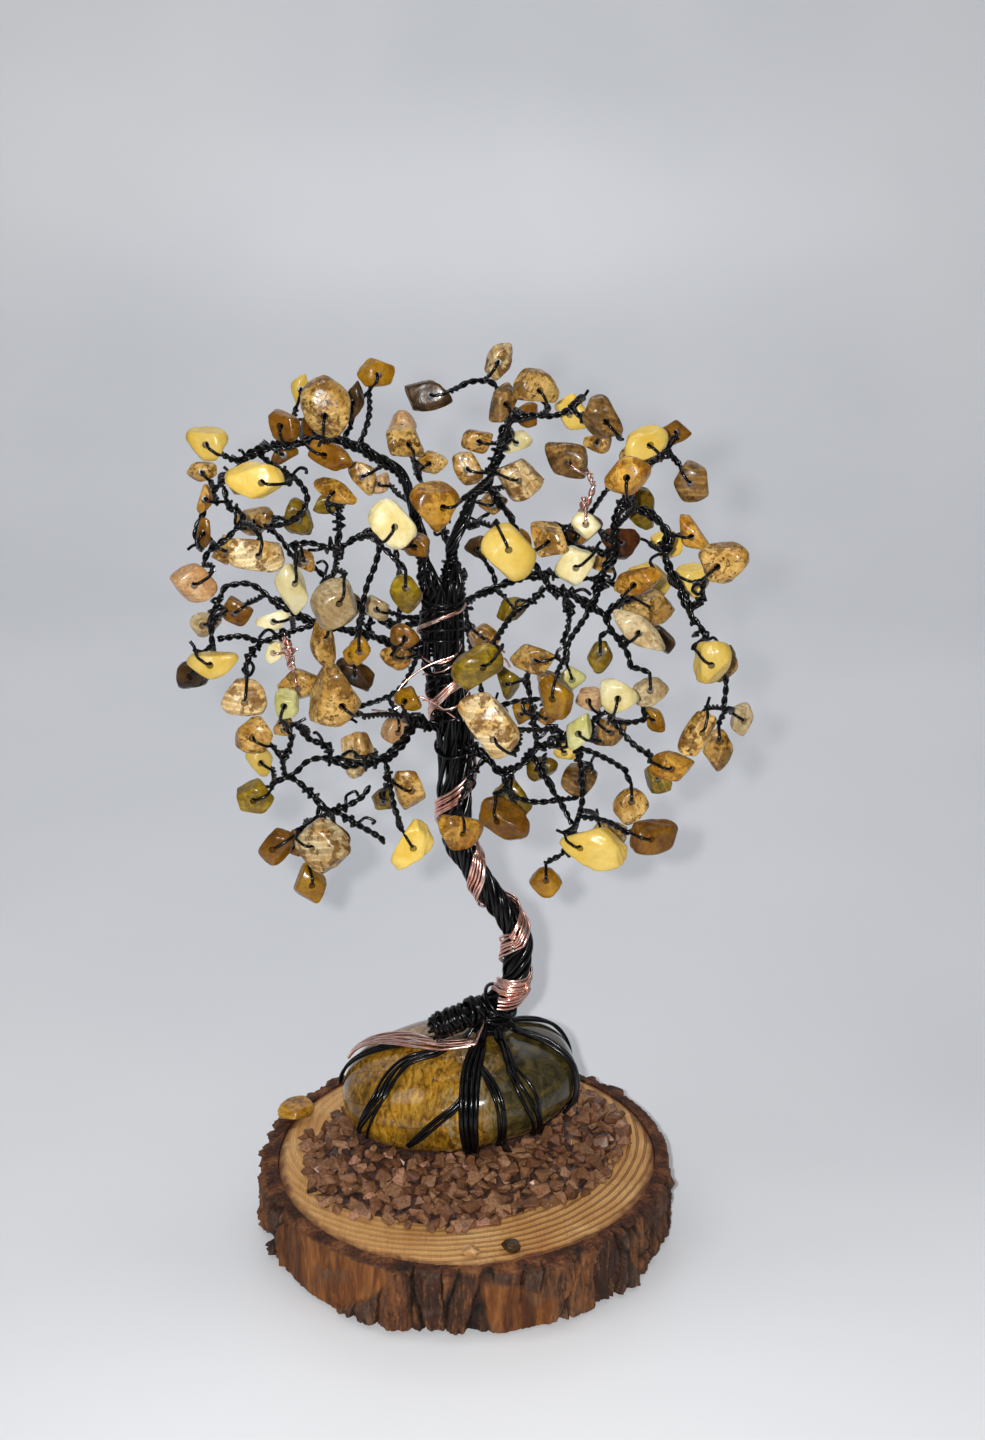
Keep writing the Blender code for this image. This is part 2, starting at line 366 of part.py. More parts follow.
# Colours: linear red, green, blue, then roughness and metallic
LOOKS = {
    "pine": ((0.62, 0.43, 0.22), 0.65, 0.0),
    "bark": ((0.13, 0.06, 0.03), 0.85, 0.0),
    "gravel": ((0.19, 0.11, 0.09), 0.50, 0.0),
    "boulder": ((0.24, 0.14, 0.03), 0.18, 0.0),
    "black wire": ((0.006, 0.006, 0.007), 0.25, 0.0),
    "copper wire": ((0.72, 0.36, 0.28), 0.25, 1.0),
    "amber": ((0.42, 0.20, 0.03), 0.15, 0.0),
    "banded": ((0.50, 0.34, 0.18), 0.22, 0.0),
    "blush": ((0.48, 0.31, 0.20), 0.22, 0.0),
    "cream": ((0.76, 0.62, 0.26), 0.20, 0.0),
    "golden": ((0.45, 0.26, 0.07), 0.20, 0.0),
    "ivory": ((0.74, 0.68, 0.48), 0.20, 0.0),
    "jasper": ((0.36, 0.20, 0.08), 0.22, 0.0),
    "olive": ((0.27, 0.17, 0.03), 0.18, 0.0),
    "russet": ((0.33, 0.11, 0.025), 0.18, 0.0),
    "sand": ((0.47, 0.38, 0.26), 0.24, 0.0),
}


def clear_scene():
    for old in list(bpy.data.objects):
        bpy.data.objects.remove(old)


def material(name):
    """The material of one look, made once."""
    found = bpy.data.materials.get(name)
    if found:
        return found
    colour, roughness, metallic = LOOKS[name]
    made = bpy.data.materials.new(name)
    made.use_nodes = True
    shader = made.node_tree.nodes["Principled BSDF"]
    shader.inputs["Base Color"].default_value = (*colour, 1.0)
    shader.inputs["Roughness"].default_value = roughness
    shader.inputs["Metallic"].default_value = metallic
    return made


def add_object(name, mesh, look, collection):
    """Puts a mesh drawn in millimetres into the scene in metres."""
    mesh.transform(Matrix.Scale(MM, 4))
    mesh.materials.clear()
    mesh.materials.append(material(look))
    piece = bpy.data.objects.new(name, mesh)
    collection.objects.link(piece)
    return piece


# Curves and routes ------------------------------------------------------------------------------

def smooth_route(points, step=STEP_ALONG_WIRE):
    """A Catmull-Rom curve through the points, with a point about every step."""
    knots = [Vector(p) for p in points]
    if len(knots) == 2:
        return knots
    ends = [knots[0] * 2 - knots[1], *knots, knots[-1] * 2 - knots[-2]]
    route = []
    for a, b, c, d in zip(ends, ends[1:], ends[2:], ends[3:]):
        pieces = max(1, round((c - b).length / step))
        for i in range(pieces):
            t = i / pieces
            route.append(0.5 * (2 * b + (c - a) * t + (2 * a - 5 * b + 4 * c - d) * t * t
                                + (3 * b - 3 * c + d - a) * t ** 3))
    route.append(knots[-1])
    return route


def nearest_on_route(route, target):
    """The point of the route that is nearest to the target."""
    best = route[0]
    for a, b in zip(route, route[1:]):
        along = (target - a).dot(b - a) / (b - a).length_squared
        point = a.lerp(b, min(1.0, max(0.0, along)))
        if (point - target).length < (best - target).length:
            best = point
    return best


def curve_to_mesh(curve_object):
    """The curve's mesh with its caps welded on; the curve itself is removed."""
    bpy.context.scene.collection.objects.link(curve_object)
    graph = bpy.context.evaluated_depsgraph_get()
    mesh = bpy.data.meshes.new_from_object(curve_object.evaluated_get(graph))
    bpy.data.objects.remove(curve_object)
    bm = bmesh.new()
    bm.from_mesh(mesh)
    bmesh.ops.remove_doubles(bm, verts=bm.verts, dist=0.01)
    bmesh.ops.recalc_face_normals(bm, faces=bm.faces)
    bm.to_mesh(mesh)
    bm.free()
    return mesh


def poly_curve(name, route, cyclic=False):
    data = bpy.data.curves.new(name, "CURVE")
    data.dimensions = "3D"
    spline = data.splines.new("POLY")
    spline.points.add(len(route) - 1)
    for point, place in zip(spline.points, route):
        point.co = (*place, 1.0)
    spline.use_cyclic_u = cyclic
    return data


def wire_mesh(route, radius, sides=6, cyclic=False, radii=None):
    """A round wire along the route, with caps unless it closes on itself."""
    data = poly_curve("wire", route, cyclic)
    data.bevel_depth = radius
    data.bevel_resolution = (sides - 4) // 2
    data.use_fill_caps = not cyclic
    if radii:
        for point, scale in zip(data.splines[0].points, radii):
            point.radius = scale
    return curve_to_mesh(bpy.data.objects.new("wire", data))


def flat_plate_mesh(outlines, thickness):
    """A plate between the outlines, standing on its own origin."""
    data = bpy.data.curves.new("plate", "CURVE")
    data.dimensions = "2D"
    data.fill_mode = "BOTH"
    data.extrude = thickness / 2
    for outline in outlines:
        spline = data.splines.new("POLY")
        spline.points.add(len(outline) - 1)
        for point, (x, y) in zip(spline.points, outline):
            point.co = (x, y, 0.0, 1.0)
        spline.use_cyclic_u = True
    mesh = curve_to_mesh(bpy.data.objects.new("plate", data))
    mesh.transform(Matrix.Translation((0, 0, thickness / 2)))
    return mesh


# Joining and cutting ----------------------------------------------------------------------------

def tidy_mesh(mesh):
    """Takes out the flat joins that a cut leaves."""
    bm = bmesh.new()
    bm.from_mesh(mesh)
    bmesh.ops.dissolve_limit(bm, angle_limit=FLAT_ENOUGH, verts=bm.verts, edges=bm.edges)
    bmesh.ops.triangulate(bm, faces=bm.faces)
    bm.to_mesh(mesh)
    bm.free()
    return mesh


def boolean(mesh, others, operation):
    """Joins the other meshes to the mesh, or cuts it with them."""
    helpers = bpy.data.collections.new("helpers")
    base = bpy.data.objects.new("base", mesh)
    bpy.context.scene.collection.objects.link(base)
    for other in others:
        helpers.objects.link(bpy.data.objects.new("helper", other))
    modifier = base.modifiers.new("boolean", "BOOLEAN")
    modifier.operation = operation
    modifier.operand_type = "COLLECTION"
    modifier.collection = helpers
    modifier.solver = "MANIFOLD"
    graph = bpy.context.evaluated_depsgraph_get()
    result = bpy.data.meshes.new_from_object(base.evaluated_get(graph))
    for helper in list(helpers.objects):
        bpy.data.objects.remove(helper)
    bpy.data.objects.remove(base)
    bpy.data.collections.remove(helpers)
    return tidy_mesh(result)


# Base -------------------------------------------------------------------------------------------

def wood_radius(angle):
    return WOOD_RADIUS * (1 - 0.018 * math.cos(2 * angle) + 0.008 * math.sin(3 * angle + 1))


def slice_outlines():
    """Outlines of the wood, of the bark's inside and of its flaky outside."""
    rng = random.Random(5)
    wood, inside, outside = [], [], []
    flake = 0.0
    for i in range(OUTLINE_POINTS):
        angle = 2 * math.pi * i / OUTLINE_POINTS
        if i % 3 == 0:
            flake = rng.uniform(-0.7, 0.8)
        radius = wood_radius(angle)
        bark = radius + BARK_THICKNESS + flake + rng.uniform(-0.2, 0.2)
        for outline, reach in ((wood, radius), (inside, radius + GAP), (outside, bark)):
            outline.append((reach * math.cos(angle), reach * math.sin(angle)))
    return wood, inside, outside


def boulder_turn():
    return Matrix.Rotation(-BOULDER_DIP, 3, "Y")


def on_boulder(place, lift):
    """The place moved in or out from the boulder's centre until it is lifted off its surface."""
    local = boulder_turn().inverted() @ (Vector(place) - BOULDER_CENTRE)
    size = sum(abs(c / h) ** BOULDER_FULLNESS for c, h in zip(local, BOULDER_HALF))
    surface = local * size ** (-1 / BOULDER_FULLNESS)
    slope = Vector([math.copysign(abs(c / h) ** (BOULDER_FULLNESS - 1) / h, c)
                    for c, h in zip(surface, BOULDER_HALF)]).normalized()
    return BOULDER_CENTRE + boulder_turn() @ (surface + slope * lift)


def boulder_mesh(lift=0.0):
    bm = bmesh.new()
    bmesh.ops.create_uvsphere(bm, u_segments=20, v_segments=10, radius=1.0)
    for vert in bm.verts:
        local = Vector([c * h for c, h in zip(vert.co, BOULDER_HALF)])
        vert.co = on_boulder(BOULDER_CENTRE + boulder_turn() @ local, lift)
    mesh = bpy.data.meshes.new("boulder")
    bm.to_mesh(mesh)
    bm.free()
    return mesh


def gravel_reach(angle):
    """How far the crushed stone goes; it draws back from the loose stone at the left rear."""
    reach = GRAVEL_REACH * (1 + 0.04 * math.sin(3 * angle + 2) + 0.03 * math.sin(7 * angle))
    return reach * (0.86 if math.cos(angle - math.radians(158)) > 0.93 else 1.0)


def gravel_mesh():
    """A lumpy heap of crushed stone, with the boulder's seat cut out of it."""
    rng = random.Random(11)
    base = SLICE_THICKNESS + GAP
    bm = bmesh.new()
    bmesh.ops.create_uvsphere(bm, u_segments=26, v_segments=10, radius=1.0)
    for vert in bm.verts:
        angle = math.atan2(vert.co.y, vert.co.x)
        out = math.hypot(vert.co.x, vert.co.y)
        height = 0.0
        if vert.co.z > -0.01:
            height = GRAVEL_HEIGHT * (1 - out ** 6) + GRAVEL_HEAP * (1 - out) + rng.uniform(0.1, 1.1)
        vert.co = Vector((GRAVEL_CENTRE[0] + gravel_reach(angle) * out * math.cos(angle),
                          GRAVEL_CENTRE[1] + gravel_reach(angle) * out * math.sin(angle), base + height))
    mesh = bpy.data.meshes.new("gravel")
    bm.to_mesh(mesh)
    bm.free()
    return boolean(mesh, [boulder_mesh(CUT_GAP)], "DIFFERENCE")


def lump_mesh(centre, half, seed, turn=0.0):
    """A small tumbled stone, flattened a little where it lies."""
    flats = worn_flats(seed, None, 0.0)
    mesh = chip_mesh(flats, Vector(centre), Vector(half), Matrix.Rotation(turn, 3, "Z"), 10, 6)
    for vert in mesh.vertices:
        vert.co.z = max(vert.co.z, SLICE_THICKNESS + GAP)
    return mesh


# Trunk, knot, ribbon and roots ------------------------------------------------------------------

def trunk_route():
    """The trunk's centre and radius, a point about every 4 mm."""
    centres = smooth_route([place for place, _ in TRUNK])
    heights = [place[2] for place, _ in TRUNK]
    radii = []
    for centre in centres:
        i = max(1, next((k for k, h in enumerate(heights) if h >= centre.z), len(heights) - 1))
        share = (centre.z - heights[i - 1]) / (heights[i] - heights[i - 1])
        share = min(1.0, max(0.0, share))
        radii.append(TRUNK[i - 1][1] * (1 - share) + TRUNK[i][1] * share)
    return centres, radii


def guard_mesh(route, radii):
    """A round cutter that keeps what is wound onto a wire clear of it."""
    ends = [route[0] + (route[0] - route[1]).normalized() * CUT_GAP,
            route[-1] + (route[-1] - route[-2]).normalized() * CUT_GAP]
    return wire_mesh([ends[0], *route[1:-1], ends[1]], 1.0, sides=10,
                     radii=[radius * 1.03 + CUT_GAP for radius in radii])


def trunk_mesh():
    """A twisted rope: a lobed section that turns as it follows the route."""
    centres, radii = trunk_route()
    corners = TRUNK_LOBES * 4
    section = []
    for i in range(corners):
        angle = 2 * math.pi * i / corners
        reach = 1 - TRUNK_LOBE_DEPTH / 2 * (1 - math.cos(TRUNK_LOBES * angle))
        section.append(Vector((reach * math.cos(angle), reach * math.sin(angle), 0)))
    profile = bpy.data.objects.new("section", poly_curve("section", section, cyclic=True))
    bpy.context.scene.collection.objects.link(profile)
    data = poly_curve("trunk", centres)
    data.bevel_mode = "OBJECT"
    data.bevel_object = profile
    data.use_fill_caps = True
    run = 0.0
    for i, point in enumerate(data.splines[0].points):
        run += (centres[i] - centres[i - 1]).length if i else 0.0
        point.radius = radii[i]
        point.tilt = 2 * math.pi * run / TRUNK_PITCH
    mesh = curve_to_mesh(bpy.data.objects.new("trunk", data))
    bpy.data.objects.remove(profile)
    return mesh


def trunk_at(height):
    """Centre, direction and radius of the trunk at a height."""
    centres, radii = trunk_route()
    i = next((k for k, c in enumerate(centres) if c.z >= height), len(centres) - 1)
    a, b = centres[i - 1], centres[i]
    share = (height - a.z) / (b.z - a.z)
    return a.lerp(b, share), (b - a).normalized(), radii[i - 1] * (1 - share) + radii[i] * share


def ribbon_point(turns):
    """The middle of the ribbon after some turns, and the direction away from the trunk."""
    i = next((k for k, (_, t) in enumerate(RIBBON) if t >= turns), len(RIBBON) - 1)
    i = max(1, i)
    (h0, t0), (h1, t1) = RIBBON[i - 1], RIBBON[i]
    centre, along, radius = trunk_at(h0 + (h1 - h0) * (turns - t0) / (t1 - t0))
    right = (Vector((1, 0, 0)) - along * along.x).normalized()
    back = along.cross(right)
    angle = 2 * math.pi * turns - math.pi / 2
    out = right * math.cos(angle) + back * math.sin(angle)
    return centre + out * (radius + GAP + RIBBON_THICKNESS), out


def add_ribbon(collection):
    """A band of fine copper wires: an open strip round the trunk, made solid."""
    first, last = RIBBON[0][1], RIBBON[-1][1]
    steps = round((last - first) * RIBBON_STEPS)
    places = [ribbon_point(first + (last - first) * i / steps) for i in range(steps + 1)]
    bm = bmesh.new()
    edge = None
    for i, (middle, out) in enumerate(places):
        ahead = places[min(i + 1, steps)][0] - places[max(i - 1, 0)][0]
        side = out.cross(ahead).normalized() * RIBBON_WIDTH / 2
        if edge is None:
            edge = bm.edges.new((bm.verts.new(middle - side), bm.verts.new(middle + side)))
            continue
        made = bmesh.ops.extrude_edge_only(bm, edges=[edge])["geom"]
        fresh = [item for item in made if isinstance(item, bmesh.types.BMVert)]
        for vert in fresh:
            old = min(edge.verts, key=lambda v: (v.co - vert.co).length)
            below = (old.co - (places[i - 1][0])).dot(side) < 0
            vert.co = middle - side if below else middle + side
        edge = next(item for item in made if isinstance(item, bmesh.types.BMEdge)
                    and all(v in fresh for v in item.verts))
    bmesh.ops.recalc_face_normals(bm, faces=bm.faces)
    mesh = bpy.data.meshes.new("copper_wrap")
    bm.to_mesh(mesh)
    bm.free()
    ribbon = add_object("copper_wrap", mesh, "copper wire", collection)
    solid = ribbon.modifiers.new("thickness", "SOLIDIFY")
    solid.thickness = RIBBON_THICKNESS * MM
    solid.offset = 0.0
    return ribbon


def knot_mesh():
    """The wound stub of wire ends at the foot of the trunk."""
    route = smooth_route(KNOT, step=0.9)
    radii = [1.0 if i % 2 else 0.86 for i in range(len(route))]
    return wire_mesh(route, KNOT_RADIUS, sides=10, radii=radii)


def root_mesh(radius, paths):
    tubes = []
    for path in paths:
        route = [on_boulder(place, radius + GAP) for place in smooth_route(path, step=3.0)]
        tubes.append(wire_mesh(route, radius))
    return boolean(tubes[0], tubes[1:], "UNION") if len(tubes) > 1 else tubes[0]


# Chips ------------------------------------------------------------------------------------------

def worn_flats(seed, sides, tilt):
    """Flats round a chip's outline and one on each broad side: their normals and depths."""
    rng = random.Random(seed)
    if sides is None:
        count, start = rng.choice((3, 4, 4, 5)), rng.uniform(0, 360)
        sides = [(start + 360 * i / count + rng.uniform(-14, 14), rng.uniform(0.60, 0.82))
                 for i in range(count)]
    flats = []
    for facing, depth in sides:
        angle = math.radians(facing - tilt)
        flats.append((Vector((math.cos(angle), rng.uniform(-0.35, 0.35), math.sin(angle))), depth))
    for side in (-1, 1):
        across = Vector((rng.uniform(-0.3, 0.3), side, rng.uniform(-0.3, 0.3)))
        flats.append((across, rng.uniform(0.72, 0.86)))
    return [(normal.normalized(), depth) for normal, depth in flats]


def chip_mesh(flats, centre, half, turn, around, down):
    """A tumbled chip: a ball that flats have been worn into."""
    bm = bmesh.new()
    bmesh.ops.create_uvsphere(bm, u_segments=around, v_segments=down, radius=1.0)
    for vert in bm.verts:
        ray = vert.co.normalized()
        reach = min([1.0] + [depth / ray.dot(n) for n, depth in flats if ray.dot(n) > depth])
        vert.co = centre + turn @ Vector([r * reach * h for r, h in zip(ray, half)])
    mesh = bpy.data.meshes.new("chip")
    bm.to_mesh(mesh)
    bm.free()
    return mesh


def chip_turn(seed, tilt):
    """Length up the tilt, thickness towards the front, turned a little about the vertical."""
    yaw = math.radians(random.Random(seed + 500).uniform(-22, 22))
    return Matrix.Rotation(yaw, 3, "Z") @ Matrix.Rotation(-math.radians(tilt), 3, "Y")


def reach_along(half, turn, direction):
    """How far the chip's ball reaches in a direction."""
    return math.sqrt(sum((h * direction.dot(turn.col[i])) ** 2 for i, h in enumerate(half)))


class Chip:
    """One chip: its solid, its bore and the loop of wire that holds it."""

    def __init__(self, index, entry, holder):
        self.name, _, self.drilled, self.look, centre, length, width, tilt = entry
        self.centre = Vector(centre)
        hangs = self.drilled == "hang"
        self.turn = Matrix.Rotation(-math.radians(tilt), 3, "Y") if hangs else chip_turn(index, tilt)
        self.flats = worn_flats(index, HANGING_FACETS if hangs else FACETS.get(self.name), tilt)
        self.half = Vector((length / 2, width * CHIP_FLATNESS / 2, width / 2))
        self.axis = Vector((0, 1, 0)) if hangs else self.turn.col[1].copy()
        self.anchor = nearest_on_route(holder, self.centre)
        pull = Vector((0, 0, 1)) if hangs else self.anchor - self.centre
        self.pull = (pull - self.axis * pull.dot(self.axis)).normalized()
        edge = reach_along(self.half, self.turn, self.pull)
        land = HANG_LAND if hangs else FRONT_LAND
        self.edge = min(edge, land)
        self.hole = self.centre + self.pull * (edge - self.edge)

    def solid(self):
        around, down = (8, 6) if self.name else (6, 4) if self.half.x > 3 else (5, 4)
        return chip_mesh(self.flats, self.centre, self.half, self.turn, around, down)

    def bore(self):
        span = self.half.y * 2 + 4
        bm = bmesh.new()
        facing = self.axis.to_track_quat("Z", "Y").to_matrix().to_4x4()
        bmesh.ops.create_cone(bm, cap_ends=True, segments=6, radius1=BORE_RADIUS, radius2=BORE_RADIUS,
                              depth=span, matrix=Matrix.Translation(self.hole) @ facing)
        mesh = bpy.data.meshes.new("bore")
        bm.to_mesh(mesh)
        bm.free()
        return mesh

    def loop(self):
        """Straight through the bore, then round the edge of the chip and back."""
        out = self.half.y + LOOP_ROOM
        far = self.edge + LOOP_ROOM
        shape = ((-out, 0), (out, 0), (out + 0.5, 0.5 * far), (0.5 * out, far), (-0.5 * out, far),
                 (-out - 0.5, 0.5 * far))
        route = [self.hole + self.axis * a + self.pull * b for a, b in shape]
        return wire_mesh(route, STRAND_RADIUS, sides=4, cyclic=True)

    def twig(self):
        """The twisted wire from the branch to the chip or to its loop."""
        end = self.centre
        if self.name:
            end = self.hole + self.pull * (self.edge + LOOP_ROOM)
        if (end - self.anchor).length < 0.5:
            end = self.anchor + Vector((0, 0, 0.5))
        return wire_mesh([self.anchor, end], TWIG_RADIUS, sides=4)


# The tree ---------------------------------------------------------------------------------------

def build_limb(limb, routes, chips, collection):
    """One limb: its branches, its twigs and loops, and the chips that have no node of their own."""
    pieces = [wire_mesh(routes[branch], radius, sides=6 if radius > 1.2 else 4)
              for owner, branch, radius, _ in BRANCHES if owner == limb]
    for chip in chips:
        pieces.append(chip.twig())
        pieces.append(chip.loop() if chip.name else chip.solid())
    mesh = boolean(pieces[0], pieces[1:], "UNION")
    parent = PARENT.get(limb)
    if parent:
        radius = next(r for _, branch, r, _ in BRANCHES if branch == parent)
        guard = guard_mesh(routes[parent], [radius] * len(routes[parent]))
    else:
        guard = guard_mesh(*trunk_route())
    add_object(limb, boolean(mesh, [guard], "DIFFERENCE"), "black wire", collection)


def main():
    clear_scene()
    tree = bpy.data.collections.new("wire_gem_tree")
    bpy.context.scene.collection.children.link(tree)

    wood, inside, outside = slice_outlines()
    add_object("wood_slice", flat_plate_mesh([wood], SLICE_THICKNESS), "pine", tree)
    bark = flat_plate_mesh([outside, inside], SLICE_THICKNESS - BARK_LIFT)
    bark.transform(Matrix.Translation((0, 0, BARK_LIFT)))
    add_object("bark_ring", bark, "bark", tree)
    add_object("gravel_bed", gravel_mesh(), "gravel", tree)
    add_object("base_stone", boulder_mesh(), "boulder", tree)
    add_object("resting_stone", lump_mesh((-38.3, 14.5, 17.2), (4.6, 3.6, 2.4), 7, 0.9), "golden", tree)
    add_object("pale_crumb", lump_mesh((1.5, -39.3, 16.1), (2.2, 1.8, 1.1), 8), "blush", tree)
    add_object("black_crumb", lump_mesh((9.6, -38.2, 16.3), (2.2, 1.8, 1.3), 9), "black wire", tree)

    add_object("trunk", trunk_mesh(), "black wire", tree)
    add_object("trunk_knot", knot_mesh(), "black wire", tree)
    add_ribbon(tree)
    for name, (radius, paths) in ROOTS.items():
        look = "copper wire" if name == "copper_root" else "black wire"
        add_object(name, root_mesh(radius, paths), look, tree)

    routes = {branch: smooth_route(points) for _, branch, _, points in BRANCHES}
    limb_of = {branch: limb for limb, branch, _, _ in BRANCHES}
    chips = [(limb_of[entry[1]], Chip(i, entry, routes[entry[1]])) for i, entry in enumerate(CHIPS)]
    for limb in dict.fromkeys(limb_of.values()):
        build_limb(limb, routes, [chip for owner, chip in chips if owner == limb], tree)
    for _, chip in chips:
        if chip.name:
            add_object(chip.name, boolean(chip.solid(), [chip.bore()], "DIFFERENCE"), chip.look, tree)


main()
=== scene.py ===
"""Looks of the wire gem tree: drilled stone chips on twisted wire, rooted over a boulder on pine.

The layout is written in millimetres and made in metres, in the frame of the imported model: the origin
is the centre of the slice's underside, +Z is up and the front of the tree faces -Y.
"""
import json
import math
import random

import bmesh
import bpy
import numpy as np
from mathutils import Matrix, Vector, noise
from mathutils.bvhtree import BVHTree


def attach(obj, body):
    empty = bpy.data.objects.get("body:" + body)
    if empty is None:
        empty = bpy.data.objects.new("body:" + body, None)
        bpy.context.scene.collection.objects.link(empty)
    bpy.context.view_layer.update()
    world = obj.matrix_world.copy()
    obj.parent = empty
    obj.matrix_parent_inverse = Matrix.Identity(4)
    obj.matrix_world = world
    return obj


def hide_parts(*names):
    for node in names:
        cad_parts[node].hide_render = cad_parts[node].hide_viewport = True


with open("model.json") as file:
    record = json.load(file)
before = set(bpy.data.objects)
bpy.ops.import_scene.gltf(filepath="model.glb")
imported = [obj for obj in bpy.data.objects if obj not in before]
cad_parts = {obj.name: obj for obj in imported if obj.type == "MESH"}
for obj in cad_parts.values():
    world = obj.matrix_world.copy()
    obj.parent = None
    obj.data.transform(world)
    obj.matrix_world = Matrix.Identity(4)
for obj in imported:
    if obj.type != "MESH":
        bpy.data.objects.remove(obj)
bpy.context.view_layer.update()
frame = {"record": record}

MM = 0.001
GAP = 0.3                       # clearance that neighbouring pieces keep

# Slice of pine with its bark
SLICE_THICKNESS = 15.0
WOOD_RADIUS = 41.7
BARK_THICKNESS = 3.6
BARK_LIFT = 0.4                 # the bark stops this far above the table

# Boulder: a pebble-like superellipsoid whose left end dips
BOULDER_CENTRE = Vector((-1.5, 8.5, 27.7))
BOULDER_HALF = Vector((26.0, 20.5, 11.7))
BOULDER_FULLNESS = 2.3
BOULDER_DIP = math.radians(8.0)

# Crushed stone around the boulder
GRAVEL_CENTRE = (0.5, 4.0)
GRAVEL_REACH = 35.0
GRAVEL_HEIGHT = 2.4
GRAVEL_HEAP = 3.2

# Wire
STRAND_RADIUS = 0.35            # 0.7 mm enamelled craft wire
BORE_RADIUS = 0.8               # drilled hole in a chip
STEP_ALONG_WIRE = 6.0
CHIP_FLATNESS = 0.7             # thickness over width
HANG_LAND = 2.2                 # from a hanging chip's bore to its top
FRONT_LAND = 4.0                # from any other bore to the edge that its loop goes round
RIBBON_THICKNESS = 0.7

# Trunk: centre of the rope and its radius
TRUNK = (
    ((4.4, 9, 41.0), 3.1), ((5.0, 9, 43.5), 3.1), ((7.5, 9, 47), 3.1), ((10.2, 9.5, 51), 2.9),
    ((11.2, 10, 56), 2.9), ((11.4, 11, 61.5), 2.9), ((8.6, 11.5, 67), 2.6), ((4.7, 12, 72.5), 2.5),
    ((0.7, 12, 79), 2.7), ((-1.7, 12, 84), 3.0), ((-2.0, 12, 93), 3.5), ((-2.0, 12, 102), 3.5),
    ((-2.6, 12, 111), 3.6), ((-3.8, 12, 119.5), 3.8), ((-4.7, 12, 128), 4.0), ((-4.4, 12, 136), 4.0),
    ((-3.8, 12, 141), 3.6),
)
KNOT = ((3.2, 8.0, 49.0), (-2.2, 5.5, 47.4), (-6.8, 5.0, 45.6))
KNOT_RADIUS = 2.3
# The copper ribbon: (height on the trunk, turns made, with whole turns at the front)
RIBBON = ((48.0, -0.05), (48.5, 0), (62, 1), (76, 2), (95, 3), (119, 4), (135, 5), (137.5, 5.25))

# Roots: wire radius and the points that each is laid over the boulder through
ROOTS = {
    "root_front": (1.3, (
        ((2.8, 3.8, 39), (1.1, -6.5, 36), (0.8, -11.5, 29), (1.1, -9.5, 22)),
        ((2.5, -3, 38), (4.9, -6.6, 36), (7.5, -10.6, 31), (7.2, -9.5, 23)),
        ((1.5, -5, 37), (-1, -10.5, 33), (-6, -11.5, 29), (-11.6, -9.5, 23)))),
    "root_front_right": (1.1, (((6.6, 4.2, 39), (9.6, -4.4, 37), (13.9, -8.3, 32), (15.4, -7.5, 24)),)),
    "root_right_low": (1.0, ((
        (9.6, 8.4, 39), (13, 7, 39), (20.5, 4.5, 36), (24, 2.5, 31), (23.5, 0.5, 24)),)),
    "root_right_high": (1.0, (((9.0, 12.4, 39), (14, 16, 38), (20, 17.5, 35), (22.5, 17, 26)),)),
    "root_left_low": (1.2, ((
        (0.1, 5.8, 39), (-5.4, 1.8, 38), (-12, 0.5, 36), (-18, -6, 31), (-21.5, -4.5, 23)),)),
    "root_left_high": (1.1, (((-0.7, 9.2, 39), (-8.7, 6.5, 38), (-20, 9, 34), (-25.3, 11, 26)),)),
    "copper_root": (1.2, (((0.5, 12.8, 39), (-5.6, 12.5, 38), (-15, 17, 35), (-21.5, 17.5, 29)),)),
}

